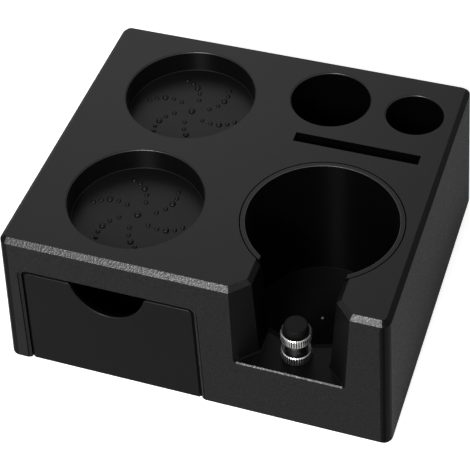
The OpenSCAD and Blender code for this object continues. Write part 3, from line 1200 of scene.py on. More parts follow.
@dataclass
class Housing:
    """The one-piece moulded housing with its hollows, notch and drawer bay."""

    shell: ShellSize
    holes: tuple[RoundHole, ...]
    slot: SlotSize
    well: WellSize
    notch: NotchSize
    drawer: DrawerSize
    margins: HousingMargins = HousingMargins()
    round_steps: int = 128
    edge: float = 0.3

    def build(self, *finishes: bpy.types.Material) -> bpy.types.Object:
        """Model the housing.

        Args:
            finishes: Materials of the areas, in their slot order.

        Returns:
            The finished piece.
        """
        piece = self.outer_form()
        tools = [self.hole_cutter(hole) for hole in self.holes]
        tools += [self.slot_cutter(), self.seat_cutter(), self.notch_cutter(), self.sill_cutter(),
                  self.bay_cutter(), self.plate_pocket(), self.opening_cutter()]
        combine(piece, tools)
        soften(piece, self.edge * MM)
        piece.data.name = piece.name
        dress(piece, *finishes)
        for face in piece.data.polygons:
            face.material_index = self.zone_at(face.center / MM, face.normal)
        return piece

    def outer_form(self) -> bpy.types.Object:
        """Block with leaning walls, rounded corners and a bevel round the deck.

        Returns:
            The outer form.
        """
        shell = self.shell
        half_w, half_d = shell.width / 2, shell.depth / 2
        piece = block("housing", metres(-half_w, -half_d, shell.bottom),
                      metres(half_w, half_d, shell.top))
        open_mesh(piece)
        select_where(piece, "EDGE", is_upright)
        bpy.ops.mesh.bevel(offset=shell.corner * MM, segments=6, affect="EDGES")
        run = shell.lean * (shell.top - shell.bottom)
        deck = shell.top * MM - AT_FACE
        select_where(piece, "VERT", lambda v: v.co.z > deck)
        scale = ((half_w - run) / half_w, (half_d - run) / half_d, 1)
        bpy.ops.transform.resize(value=scale, center_override=(0, 0, 0))
        select_where(piece, "EDGE", lambda e: all(v.co.z > deck for v in e.verts))
        bpy.ops.mesh.bevel(offset=shell.bevel * MM, segments=1, affect="EDGES")
        close_mesh()
        return piece

    def hole_cutter(self, hole: RoundHole) -> bpy.types.Object:
        """Cutter for one round hollow.

        Args:
            hole: The hollow.

        Returns:
            The cutter.
        """
        profile = hole_profile(hole, self.shell.top)
        return lathe(hole.name, profile, metres(hole.x, hole.y), self.round_steps)

    def slot_cutter(self) -> bpy.types.Object:
        """Cutter for the narrow slot.

        Returns:
            The cutter.
        """
        slot = self.slot
        low = metres(slot.x - slot.length / 2, slot.y - slot.width / 2, slot.floor)
        high = metres(slot.x + slot.length / 2, slot.y + slot.width / 2,
                      self.shell.top + CLEAR_OF_TOP)
        return block("slot", low, high)

    def seat_cutter(self) -> bpy.types.Object:
        """Cutter for the tapered seat of the well liner.

        Returns:
            The cutter.
        """
        well, top = self.well, self.shell.top + CLEAR_OF_TOP
        radius = well.outer + well.gap
        low = radius - (self.shell.top - well.base) * well.taper
        high = radius + CLEAR_OF_TOP * well.taper
        profile = [(0, well.base), (low, well.base), (high, top), (0, top)]
        points = [metres(r, z) for r, z in profile]
        return lathe("seat", points, metres(well.x, well.y), self.round_steps)

    def notch_ring(self, z: float, shift: float) -> list[Point]:
        """Outline of the notch at one height.

        Args:
            z: Height of the outline.
            shift: Distance that the walls stand in from their place at the bevel.

        Returns:
            The outline in metres.
        """
        notch = self.notch
        half = notch.half - shift
        corner = notch.corner_y - inwards(shift)
        reach = inwards(notch.corner_round)
        centre = (half + notch.corner_round, corner + reach)
        right = [(half, notch.back)]
        right += arc(centre, notch.corner_round, 180, 225, notch.corner_steps)
        right.append((half + corner - notch.front, notch.front))
        outline = right + [(-x, y) for x, y in reversed(right)]
        return [metres(self.well.x + x, y, z) for x, y in outline]

    def notch_cutter(self) -> bpy.types.Object:
        """Cutter for the notch, with rounded corners all the way down.

        Returns:
            The cutter.
        """
        notch = self.notch
        rings = []
        for rise, out in arc((notch.floor_round, 0.0), notch.floor_round, 180, 90,
                             notch.floor_steps):
            z = notch.floor + rise
            inset = notch.floor_round - out
            rings.append(self.notch_ring(z, (notch.level - z) * notch.slope + inset))
        rings.append(self.notch_ring(notch.level, 0))
        top = self.shell.top + CLEAR_OF_TOP
        rings.append(self.notch_ring(top, notch.level - top))
        return loft("notch", rings)

    def sill_cutter(self) -> bpy.types.Object:
        """Cutter for the bevel on the front edge of the notch floor.

        Returns:
            The cutter.
        """
        notch, clear = self.notch, CLEAR_OF_TOP
        z, y = notch.floor, self.shell.front(notch.floor)
        shift = (notch.level - z) * notch.slope + notch.floor_round
        half = notch.half - shift + notch.corner_y - inwards(shift) - y
        outline = [(y - clear, z - notch.sill - clear), (y + notch.sill + clear, z + clear),
                   (y - clear, z + clear)]
        points = [metres(self.well.x - half, a, b) for a, b in outline]
        return prism("sill", points, metres(2 * half, 0, 0))

    def bay_cutter(self) -> bpy.types.Object:
        """Cutter for the drawer bay, which is open at its bottom.

        Returns:
            The cutter.
        """
        shell = self.shell
        rings = []
        for z in (shell.below, shell.bay_top):
            run = shell.lean * (z - shell.bottom) + shell.wall
            left, right = run - shell.width / 2, shell.bay_right
            back = shell.depth / 2 - run
            corners = ((left, -back), (right, -back), (right, back), (left, back))
            rings.append([metres(x, y, z) for x, y in corners])
        return loft("bay", rings)

    def plate_pocket(self) -> bpy.types.Object:
        """Cutter for the pocket that takes the base plate.

        Returns:
            The cutter.
        """
        shell = self.shell
        half_w, half_d = shell.width / 2 - shell.wall, shell.depth / 2 - shell.wall
        pocket = block("pocket", metres(-half_w, -half_d, shell.below),
                       metres(half_w, half_d, shell.pocket_top))
        open_mesh(pocket)
        select_where(pocket, "EDGE", is_upright)
        bpy.ops.mesh.bevel(offset=(shell.corner - shell.wall / 2) * MM, segments=4, affect="EDGES")
        close_mesh()
        return pocket

    def opening_cutter(self) -> bpy.types.Object:
        """Cutter for the drawer opening and the bevel round it.

        Returns:
            The cutter.
        """
        size, front = self.drawer, Front(self.shell)
        outer = size.lip_spread + size.lip_line
        steps = ((-self.shell.below, outer), (-size.lip_step, outer),
                 (-size.lip_step, size.lip_spread), (-size.lip, 0.0), (-size.through, 0.0))
        rings = []
        for out, grow in steps:
            outline = opening_outline(size, -grow, size.under, size.corner + grow)
            rings.append(front.place(outline, out))
        return loft("opening", rings)

    def zone_at(self, place: Vector, normal: Vector) -> Zone:
        """Pick the material of one face; several areas get copies that paint shade and highlights.

        Args:
            place: Centre of the face, in millimetres.
            normal: Normal of the face.

        Returns:
            The area that the face belongs to.
        """
        notch, shell, margins = self.notch, self.shell, self.margins
        turn, x = abs(normal.x), abs(place.x)
        behind = place.y - shell.front(place.z)
        if self.in_notch(place, behind):
            # In the notch: painted shade, near black on the walls that face across, dark grey on
            # the rest.
            return Zone.DEEP_SHADE if turn > margins.upright else Zone.HALF_SHADE
        if self.in_hollow(place):
            return self.zone_in_hollow(place, normal)
        if normal.z > margins.level and place.z > shell.top - margins.deck:
            return Zone.DECK
        on_sill = notch.floor - margins.sill < place.z < notch.floor
        on_bevel = place.z > notch.level - margins.deck or on_sill
        lean_low, lean_high = margins.bevel_lean
        # Front bevels and the sill: painted highlight, a copy with stronger sheen; the coarse
        # grain on it is real.
        if on_bevel and lean_low < -normal.y < lean_high and turn < margins.bevel_turn:
            return Zone.BEVEL
        # Bevels beside the notch: painted shade.
        if on_bevel and turn > margins.mitre_turn and behind > margins.mitre_skin:
            return Zone.HALF_SHADE
        beside = shell.width / 2 - shell.lean * (place.z - shell.bottom) - x
        # Inside of the walls: painted shade.
        if place.z < margins.wall_top and min(behind, beside) > margins.wall_skin:
            return Zone.DEEP_SHADE
        line_low, line_high = margins.line
        on_line = line_low < behind < line_high and place.z < margins.line_top
        # The step round the drawer: painted shade, drawn as a dark line.
        if on_line and -normal.y > margins.level:
            return Zone.DEEP_SHADE
        # Rounded upright corners: painted shade, a dark band.
        turn_low, turn_high = margins.corner_turn
        by_corner = beside < margins.corner_run and x > margins.corner_from
        if by_corner and turn_low < turn < turn_high:
            return Zone.HALF_SHADE
        # Side walls: painted shade; the rest of the outside keeps the grained plastic.
        return Zone.SIDE if turn > margins.level else Zone.WALL

    def in_notch(self, place: Vector, behind: float) -> bool:
        """Say whether a point lies on a wall or on the floor of the notch.

        Args:
            place: The point, in millimetres.
            behind: Distance of the point behind the front face.

        Returns:
            True in the notch.
        """
        notch, margins = self.notch, self.margins
        beside = abs(place.x - self.well.x) < notch.half + margins.notch_side
        inside = behind > margins.notch_skin and place.y < notch.back + margins.notch_back
        return beside and inside and notch.floor - margins.deck < place.z < notch.level - 1

    def zone_in_hollow(self, place: Vector, normal: Vector) -> Zone:
        """Pick the material of one face of a hollow in the deck; most of these copies paint shade
        and highlights.

        Args:
            place: Centre of the face, in millimetres.
            normal: Normal of the face.

        Returns:
            The area that the face belongs to.
        """
        margins = self.margins
        # Rims of the hollows: painted highlight, a copy with stronger sheen.
        if place.z > self.shell.top - margins.rim:
            return Zone.DECK if normal.z > margins.flat else Zone.RIM
        # Cups and slot: painted shade inside.
        if place.x > 0:
            return Zone.DEEP_SHADE
        # Recess walls and floors: painted shade, darker copies of the plastic.
        return Zone.TURNED if place.z > RECESS_FLOOR + margins.recess_foot else Zone.FLOOR

    def in_hollow(self, place: Vector) -> bool:
        """Say whether a point lies inside one of the round hollows or the slot.

        Args:
            place: The point, in millimetres.

        Returns:
            True inside a hollow.
        """
        slot, margins = self.slot, self.margins
        in_length = abs(place.x - slot.x) < slot.length / 2 + margins.slot_edge
        if in_length and abs(place.y - slot.y) < slot.width / 2 + margins.slot_edge:
            return True
        return any(math.hypot(place.x - hole.x, place.y - hole.y) < hole.radius + margins.hole_edge
                   for hole in self.holes)


@dataclass
class RecessMarks:
    """Low studs in swirling arms on a recess floor, with a gate mark in the middle.

    Attributes:
        first: Distance of an arm's first stud from the middle.
        pitch: Distance from one stud to the next.
        closing: Share by which that distance shrinks outwards.
        start: Angle of the first arm, in degrees.
        swirl: Angle from one stud of an arm to the next, in degrees.
        middle: Radius of the gate mark.
        small: Radius of the studs.
        large: Radius of the large stud of each arm.
        large_at: Place of the large stud in its arm.
        flatness: Height of a stud as a share of its radius.
    """

    x: float
    y: float
    floor: float
    arms: int = 6
    studs: int = 5
    first: float = 9.2
    pitch: float = 5.2
    closing: float = 0.35
    start: float = 85.0
    swirl: float = 7.5
    middle: float = 1.8
    small: float = 1.2
    large: float = 1.65
    large_at: int = 2
    flatness: float = 0.7

    def build(self, name: str, finish: bpy.types.Material) -> bpy.types.Object:
        """Model the marks of one recess.

        Args:
            name: Name of the piece.
            finish: Its material.

        Returns:
            The finished piece.
        """
        small, large, middle = map(self.stud, (self.small, self.large, self.middle))
        parts = [self.placed(middle, 0, 0)]
        for arm in range(self.arms):
            for index in range(self.studs):
                radius = self.first + self.pitch * index - self.closing * index ** 2
                angle = math.radians(self.start + self.swirl * index + 360 / self.arms * arm)
                model = large if index == self.large_at else small
                parts.append(self.placed(model, radius * math.cos(angle),
                                         radius * math.sin(angle)))
        for model in (small, large, middle):
            bpy.data.objects.remove(model, do_unlink=True)
        piece = join(parts)
        piece.name = name
        dress(piece, finish)
        activate(piece)
        bpy.ops.object.shade_smooth()
        return piece

    def stud(self, radius: float) -> bpy.types.Object:
        """Model one stud at the origin, to be copied.

        Args:
            radius: Its radius.

        Returns:
            A flattened ball.
        """
        deselect_all()
        bpy.ops.mesh.primitive_uv_sphere_add(segments=14, ring_count=8, radius=radius * MM)
        part = bpy.context.object
        part.scale = (1, 1, self.flatness)
        settle(part)
        return part

    def placed(self, model: bpy.types.Object, across: float, back: float) -> bpy.types.Object:
        """Copy a stud to its place, half sunk into the floor.

        Args:
            model: The stud at the origin.
            across: Its X from the middle of the recess.
            back: Its Y from the middle of the recess.

        Returns:
            The copy.
        """
        return copied(model, "stud", metres(self.x + across, self.y + back, self.floor))


@dataclass(frozen=True)
class LinerMargins:
    """Limits that tell the areas of the liner apart: distances and shares of a normal.

    Attributes:
        level: Least share of a face that looks up.
        flat: Least share of a face in the plane of the ring.
        top: Reach of the ring below its rim.
        slit_from: Least distance of the slit from the axis.
        slit_half: Half the width of the area of the slit.
        slit_turn: Sideways shares between which a face belongs to the slit.
        slit_skin: Reach of the slit's edge outside the inner radius.
        slit_edge: Reach of the slit's edge beside the notch.
        slit_floor: Reach of the slit's floor above and below the notch floor.
        gate: Reach of the gate mark as a share of its radius.
        foot: Height of the area of the floor.
    """

    level: float = 0.9
    flat: float = 0.95
    top: float = 0.05
    slit_from: float = 25.0
    slit_half: float = 22.0
    slit_turn: tuple[float, float] = (0.15, 0.97)
    slit_skin: float = 0.5
    slit_edge: float = 1.0
    slit_floor: float = 1.0
    gate: float = 1.5
    foot: float = 0.5


@dataclass
class WellLiner:
    """Deep tapered cup with a slit in line with the notch."""

    well: WellSize
    notch: NotchSize
    top: float
    margins: LinerMargins = LinerMargins()
    slit_ease: float = 0.8
    slit_drop: float = 0.7
    steps: int = 128
    edge: float = 0.25

    def build(self, *finishes: bpy.types.Material) -> bpy.types.Object:
        """Model the liner.

        Args:
            finishes: Materials of its areas, in slot order.

        Returns:
            The finished piece.
        """
        well, cut, bend = self.well, self.well.foot_chamfer, self.well.foot_round
        low = well.outer - (self.top - well.base) * well.taper
        inner_low = well.inner - (self.top - well.floor) * well.taper
        rim = arc((well.inner + well.rim, self.top - well.rim), well.rim, 90, 180, 5)
        foot = arc((inner_low - bend, well.floor + bend), bend, 0, -90, 2)
        outline = [(0.0, well.base), (low - cut, well.base), (low - well.play, well.base + cut),
                   (well.outer - well.play, self.top), *rim, *foot, (0.0, well.floor)]
        profile = [metres(r, z) for r, z in outline]
        piece = lathe("well_liner", profile, metres(well.x, well.y), self.steps)
        combine(piece, [self.slit()])
        soften(piece, self.edge * MM)
        combine(piece, [self.button()], "UNION")
        clean(piece)
        dress(piece, *finishes)
        for face in piece.data.polygons:
            face.material_index = self.zone_at(face.center / MM, face.normal)
        return piece

    def zone_at(self, place: Vector, normal: Vector) -> LinerZone:
        """Pick the material of one face; several areas get copies that paint shade and highlights.

        Args:
            place: Centre of the face, in millimetres.
            normal: Normal of the face.

        Returns:
            The area that the face belongs to.
        """
        well, notch, margins = self.well, self.notch, self.margins
        # Ring: flat top in the deck plastic, rounded edges painted as highlights.
        if place.z > self.top - well.rim - margins.top:
            return LinerZone.TOP if normal.z > margins.flat else LinerZone.EDGE
        across = abs(place.x - well.x)
        radius = math.hypot(across, place.y - well.y)
        by_slit = place.y < well.y - margins.slit_from and across < margins.slit_half
        turn_low, turn_high = margins.slit_turn
        if by_slit and turn_low < abs(normal.x) < turn_high:
            inside = radius < well.inner + margins.slit_skin and place.z > notch.floor
            on_edge = inside and across < notch.half + margins.slit_edge
            # Slit's inner edge: painted highlight; its other faces are wall.
            return LinerZone.EDGE if on_edge else LinerZone.WALL
        # Slit's floor: painted shade.
        if normal.z > margins.level and abs(place.z - notch.floor) < margins.slit_floor:
            return LinerZone.SLIT
        # Gate mark: a pale colour painted as a glint.
        if radius < margins.gate * well.button:
            return LinerZone.GATE
        return LinerZone.WALL if place.z > well.floor + margins.foot else LinerZone.FLOOR

    def button(self) -> bpy.types.Object:
        """Gate mark in the middle of the cup's floor.

        Returns:
            A ball sunk into the floor.
        """
        well = self.well
        deselect_all()
        bpy.ops.mesh.primitive_uv_sphere_add(segments=16, ring_count=8, radius=well.button * MM,
                                             location=metres(well.x, well.y, well.floor))
        part = bpy.context.object
        settle(part)
        return part

    def slit(self) -> bpy.types.Object:
        """Cutter for the slit.

        Returns:
            The cutter.
        """
        notch, well = self.notch, self.well
        up = self.top + CLEAR_OF_TOP
        low = notch.half - (notch.level - notch.floor) * notch.slope + self.slit_ease
        high = notch.half + (up - notch.level) * notch.slope + self.slit_ease
        start = well.y - well.inner / 2
        floor = notch.floor - self.slit_drop
        outline = [(-low, floor), (low, floor), (high, up), (-high, up)]
        points = [metres(well.x + a, start, b) for a, b in outline]
        return prism("slit", points, metres(0, -well.outer, 0))


@dataclass
class Drawer:
    """Leaning drawer front with a half-moon for the finger, and its tray.

    Attributes:
        facing: Least share of a face that looks out of the front.
        flat: Share from which a face belongs to the flat of the front.
        upwards: Least share of an edge that looks up.
        skin: Depth of the front's outer area.
    """

    size: DrawerSize
    shell: ShellSize
    facing: float = 0.2
    flat: float = 0.99
    upwards: float = 0.3
    skin: float = 0.5

    def build(self, *finishes: bpy.types.Material) -> bpy.types.Object:
        """Model the drawer.

        Args:
            finishes: Materials of its areas, in slot order.

        Returns:
            The finished piece.
        """
        size = self.size
        piece = self.panel()
        tray = self.tray("tray", 0, size.front / 2)
        combine(tray, [self.tray("tray_inside", size.tray_wall, -size.tray_open)])
        combine(piece, [tray], "UNION")
        soften(piece, size.edge * MM, segments=3)
        dress(piece, *finishes)
        for face in piece.data.polygons:
            face.material_index = self.zone_at(face.center / MM, face.normal)
        return piece

    def zone_at(self, place: Vector, normal: Vector) -> DrawerZone:
        """Pick the material of one face; the inside gets painted shade and the upward edges
        painted highlights.

        Args:
            place: Centre of the face, in millimetres.
            normal: Normal of the face.

        Returns:
            The area that the face belongs to.
        """
        front = Front(self.shell)
        facing = normal.dot(front.out)
        depth = (place - front.foot).dot(-front.out) - self.size.lip
        # Faces inside and in the gaps: painted shade.
        if facing <= self.facing or depth >= self.skin:
            return DrawerZone.INSIDE
        # Upward-facing roundings: painted highlight.
        lit = facing < self.flat and normal.z > self.upwards
        return DrawerZone.EDGE if lit else DrawerZone.FACE

    def panel(self) -> bpy.types.Object:
        """Front panel, set back behind the lip, with a closer step behind it.

        Returns:
            The panel.
        """
        size = self.size
        piece = self.slab("drawer", size.gap, 0, size.front)
        step = self.slab("drawer_step", size.play, size.step, size.front + size.seam)
        combine(piece, [step], "UNION")
        return piece

    def slab(self, name: str, gap: float, start: float, end: float) -> bpy.types.Object:
        """Slab with the drawer's outline and its half-moon.

        Args:
            name: Name of the slab.
            gap: Distance from its edge to the opening.
            start: Distance from the panel's outer face to the slab.
            end: Distance from the panel's outer face to the back of the slab.

        Returns:
            The slab.
        """
        size, front = self.size, Front(self.shell)
        outline = opening_outline(size, gap, size.foot_gap, size.corner - gap / 2)
        half = len(outline) // 2
        moon = moon_outline(size, size.height - gap)
        if gap == size.gap:
            outline = [(x, y - size.drop * (y > size.height / 2)) for x, y in outline]
            moon = [(x, y - size.drop) for x, y in moon]
        else:
            rise = size.gap - gap + size.drop
            moon = [(x, y - rise * (y < size.height - gap - NEAR)) for x, y in moon]
        points = outline[:half] + moon + outline[half:]
        push = front.out * -(end - start) * MM
        return prism(name, front.place(points, -size.lip - start), push)

    def tray(self, name: str, inset: float, behind: float) -> bpy.types.Object:
        """Block of the tray or of the room inside it.

        Args:
            name: Name of the block.
            inset: Distance that its walls stand in.
            behind: Distance from the panel's outer face to the block.

        Returns:
            The block.
        """
        size = self.size
        low = size.tray_low + inset
        high = size.tray_top + (size.tray_open if inset else 0.0)
        back = size.tray_back - inset
        half = size.tray_half - inset
        start = size.lip + behind
        outline = [(self.shell.front(low) + start, low), (back, low), (back, high),
                   (self.shell.front(high) + start, high)]
        points = [metres(size.x - half, y, z) for y, z in outline]
        piece = prism(name, points, metres(2 * half, 0, 0))
        open_mesh(piece)
        back_y = back * MM - AT_FACE
        select_where(piece, "EDGE",
                     lambda e: all(v.co.y > back_y for v in e.verts) and is_upright(e))
        bpy.ops.mesh.bevel(offset=(size.tray_corner - inset / 2) * MM, segments=5, affect="EDGES")
        close_mesh()
        return piece


@dataclass
class SupportPost:
    """Knurled post: a fixed lower part, an adjusting head and a rubber pad.

    Attributes:
        level: Least share of a flat face's normal that looks up or down.
        rim_lean: The same for the bevelled rims.
        smooth_up_to: Angle up to which faces are shaded smooth, in degrees.
    """

    size: PostSize
    steps: int = 160
    pad_steps: int = 64
    level: float = 0.9
    rim_lean: float = 0.3
    smooth_up_to: float = 24.0

    def build_base(self, *finishes: bpy.types.Material) -> bpy.types.Object:
        """Model the lower ring with its neck.

        Args:
            finishes: Materials of its areas, in slot order.

        Returns:
            The finished piece.
        """
        size = self.size
        bore, low = size.screw + size.bore_play, size.foot - size.spigot_length
        shoulder = size.foot + size.ring_height
        top = shoulder + size.neck_height
        outline = [(size.spigot, low), (size.spigot, size.foot), *self.ring_profile(size.foot),
                   (size.neck, shoulder), (size.neck, top - size.chamfer),
                   (size.neck - size.chamfer, top), (bore, top), (bore, size.foot),
                   (bore, low), (size.spigot, low)]
        return self.turn("support_base", outline, size.foot, finishes)

    def build_head(self, *finishes: bpy.types.Material) -> bpy.types.Object:
        """Model the adjusting head with its screw.

        Args:
            finishes: Materials of its areas, in slot order.

        Returns:
            The finished piece.
        """
        size, z = self.size, self.head_z
        low, top = z - size.screw_length, z + size.ring_height
        floor = top - size.seat_depth
        outline = [(0.0, low), (size.screw - size.screw_tip, low),
                   (size.screw, low + size.screw_tip), (size.screw, z), *self.ring_profile(z),
                   (size.seat, top - size.hair), (size.seat, floor), (0.0, floor)]
        return self.turn("support_head", outline, z, finishes)

    def build_pad(self, finish: bpy.types.Material) -> bpy.types.Object:
        """Model the rubber pad.

        Args:
            finish: Its material.

        Returns:
            The finished piece.
        """
        size = self.size
        ring_top = self.head_z + size.ring_height
        low, top = ring_top - size.seat_depth + size.hair, ring_top + size.pad_height
        rim, rim_top = size.seat - size.pad_play, low + size.pad_flange
        shoulder = arc((size.pad - size.pad_round, top - size.pad_round), size.pad_round, 0, 90, 6)
        outline = [(0.0, low), (rim, low), (rim, rim_top), (size.pad, rim_top + size.hair),
                   *shoulder, (0.0, top)]
        profile = [metres(r, z) for r, z in outline]
        piece = lathe("support_pad", profile, metres(size.x, size.y), self.pad_steps)
        soften(piece, size.pad_edge * MM)
        dress(piece, finish)
        return piece

    @property
    def head_z(self) -> float:
        """Height of the lower face of the adjusting head."""
        size = self.size
        return size.foot + size.ring_height + size.neck_height + size.slit

    @property
    def pitch(self) -> float:
        """Angle from one groove of the knurl to the next."""
        return 2 * math.pi / self.size.grooves

    def ring_profile(self, z: float) -> list[tuple[float, float]]:
        """Profile of one knurled ring with bevelled rims.

        Args:
            z: Height of its lower face.

        Returns:
            Radius and height of each point.
        """
        size = self.size
        top = z + size.ring_height
        inner = size.ring - size.rim
        return [(inner, z), (size.ring, z + size.rim), (size.ring, top - size.rim), (inner, top)]

    def turn(self, name: str, outline: Sequence[tuple[float, float]], z: float,
             finishes: Sequence[bpy.types.Material]) -> bpy.types.Object:
        """Spin an outline and press the grooves into its ring.

        Args:
            name: Name of the piece.
            outline: Radius and height of each point.
            z: Height of the ring's lower face.
            finishes: Materials of its areas, in slot order.

        Returns:
            The finished piece.
        """
        size = self.size
        profile = [metres(r, height) for r, height in outline]
        piece = lathe(name, profile, metres(size.x, size.y), self.steps)

        def in_groove(vertex: bmesh.types.BMVert) -> bool:
            """Say whether a vertex lies at the bottom of a groove."""
            x, y = vertex.co.x / MM - size.x, vertex.co.y / MM - size.y
            height = vertex.co.z / MM
            inside = z + size.rim / 2 < height < z + size.ring_height - size.rim / 2
            outer = math.hypot(x, y) > size.ring - NEAR
            return inside and outer and self.off_groove(x, y) < self.pitch / 8

        open_mesh(piece)
        select_where(piece, "VERT", in_groove)
        factor = 1 - size.groove_depth / size.ring
        bpy.ops.transform.resize(value=(factor, factor, 1),
                                 center_override=metres(size.x, size.y, z))
        close_mesh()
        dress(piece, *finishes)
        for face in piece.data.polygons:
            face.material_index = self.zone_at(face.center / MM, face.normal)
        activate(piece)
        bpy.ops.object.shade_smooth_by_angle(angle=math.radians(self.smooth_up_to))
        return piece

    def off_groove(self, x: float, y: float) -> float:
        """Angle from a point to the nearest groove.

        Args:
            x: The point's X from the axis.
            y: The point's Y from the axis.

        Returns:
            The angle, in radians.
        """
        turn = math.atan2(y, x) % self.pitch
        return min(turn, self.pitch - turn)

    def zone_at(self, place: Vector, normal: Vector) -> PostZone:
        """Pick the material of one face; the end faces, groove flanks and neck get copies that
        paint shade.

        Args:
            place: Centre of the face, in millimetres.
            normal: Normal of the face.

        Returns:
            The area that the face belongs to.
        """
        size, lean = self.size, abs(normal.z)
        # End faces: painted shade.
        if lean > self.level:
            return PostZone.FLAT
        x, y = place.x - size.x, place.y - size.y
        # Neck: painted shade.
        if math.hypot(x, y) <= size.ring - size.rim - size.groove_depth:
            return PostZone.NECK
        if lean > self.rim_lean:
            return PostZone.RIM
        # Groove flanks: painted shade that marks the knurl's bars.
        return PostZone.FLAT if self.off_groove(x, y) < self.pitch / 4 else PostZone.KNURL


# Studio


@dataclass(frozen=True)
class SoftBox:
    """A square soft light that faces a point."""

    name: str
    place: Point
    aim: Point
    size: float
    power: float

    def build(self) -> None:
        """Add the light."""
        deselect_all()
        bpy.ops.object.light_add(type="AREA", location=self.place)
        lamp = bpy.context.object
        lamp.name = self.name
        lamp.data.size = self.size
        lamp.data.energy = self.power
        way = Vector(self.aim) - Vector(self.place)
        lamp.rotation_euler = way.to_track_quat("-Z", "Y").to_euler()
        lamp.visible_camera = False


@dataclass
class Studio:
    """Camera, floor, world and lights."""

    eye: Point = (0.18947, -0.50723, 0.59656)
    azimuth: float = 21.189
    elevation: float = 46.320
    roll: float = 3.613
    focal_pixels: float = 1508.116
    frame_pixels: float = 470.0
    sensor: float = 36.0
    far: float = 20.0
    ambient: float = 0.15
    floor_size: float = 12.0
    floor_shade: float = 0.8
    floor_glow: float = 0.75
    mirrored_glow: float = 0.1
    boxes: tuple[SoftBox, ...] = ()

    def build(self) -> None:
        """Set up the camera, the floor, the world and the lights."""
        bpy.context.scene.view_settings.view_transform = "Standard"
        self.camera()
        self.floor()
        self.world()
        for box in self.boxes:
            box.build()

    def camera(self) -> None:
        """Add the camera that sees the object as the photograph does."""
        a, e, r = (math.radians(v) for v in (self.azimuth, self.elevation, self.roll))
        back = Vector((math.sin(a) * math.cos(e), -math.cos(a) * math.cos(e), math.sin(e)))
        right = Vector((math.cos(a), math.sin(a), 0))
        up = back.cross(right)
        turned_right = math.cos(r) * right - math.sin(r) * up
        turned_up = math.sin(r) * right + math.cos(r) * up
        deselect_all()
        bpy.ops.object.camera_add()
        eye = bpy.context.object
        eye.name = "camera"
        turn = Matrix((turned_right, turned_up, back)).transposed()
        eye.matrix_world = Matrix.Translation(self.eye) @ turn.to_4x4()
        eye.data.sensor_width = self.sensor
        eye.data.lens = self.focal_pixels / self.frame_pixels * self.sensor
        eye.data.clip_end = self.far
        bpy.context.scene.camera = eye

    def seen_as(self, tree: bpy.types.NodeTree, others: float, mirrored: float,
                camera: float) -> bpy.types.NodeSocket:
        """Add a strength that depends on the kind of ray.

        Args:
            tree: The tree that gets the nodes.
            others: Strength for the light on the object.
            mirrored: Strength in reflections and through clear things.
            camera: Strength for the camera.

        Returns:
            The strength.
        """
        path = tree.nodes.new("ShaderNodeLightPath")
        value = None
        for name, strength in (("Is Glossy Ray", mirrored), ("Is Transmission Ray", mirrored),
                               ("Is Camera Ray", camera)):
            mix = tree.nodes.new("ShaderNodeMix")
            mix.inputs["A"].default_value = others
            mix.inputs["B"].default_value = strength
            tree.links.new(path.outputs[name], mix.inputs["Factor"])
            if value is not None:
                tree.links.new(value, mix.inputs["A"])
            value = mix.outputs["Result"]
        return value

    def floor(self) -> None:
        """Add the pale floor, which keeps the object's shadow."""
        deselect_all()
        bpy.ops.mesh.primitive_plane_add(size=self.floor_size, location=(0, 0, 0))
        floor = bpy.context.object
        floor.name = "floor"
        nodes = Nodes("pale_floor")
        nodes.tree.nodes.remove(nodes.shader)
        diffuse = nodes.add("ShaderNodeBsdfDiffuse", Color_=(*(self.floor_shade,) * 3, 1))
        glow = nodes.add("ShaderNodeEmission")
        strength = self.seen_as(nodes.tree, 0, self.mirrored_glow, self.floor_glow)
        nodes.link(strength, glow.inputs["Strength"])
        both = nodes.add("ShaderNodeAddShader")
        nodes.link(diffuse.outputs[0], both.inputs[0])
        nodes.link(glow.outputs[0], both.inputs[1])
        output = nodes.tree.nodes["Material Output"]
        nodes.link(both.outputs[0], output.inputs["Surface"])
        dress(floor, nodes.material)

    def world(self) -> None:
        """Set a dim surround that the camera sees as white."""
        world = bpy.data.worlds.new("surround")
        bpy.context.scene.world = world
        world.use_nodes = True
        tree = world.node_tree
        back = tree.nodes["Background"]
        back.inputs["Color"].default_value = (1, 1, 1, 1)
        tree.links.new(self.seen_as(tree, self.ambient, 1.0, 1.0), back.inputs["Strength"])


SHELL = ShellSize()
RECESS_FLOOR = 71.3
HOLES = (
    RoundHole("front_recess", -42.0, -39.9, 33.5, RECESS_FLOOR, 2.0, 0.5),
    RoundHole("back_recess", -42.0, 39.1, 33.5, RECESS_FLOOR, 2.0, 0.5),
    RoundHole("large_cup", 28.9, 54.8, 20.4, 17.3, 0.5, 1.5),
    RoundHole("small_cup", 73.0, 54.8, 14.6, 23.3, 0.5, 1.5),
)

LIGHTS = (
    SoftBox("key", (-0.06, -1.17, 0.94), (0.0, -0.08, 0.08), 0.4, 26.0),
    SoftBox("back", (-0.6, 1.2, 1.25), (0.0, 0.0, 0.05), 0.8, 5.4),
)


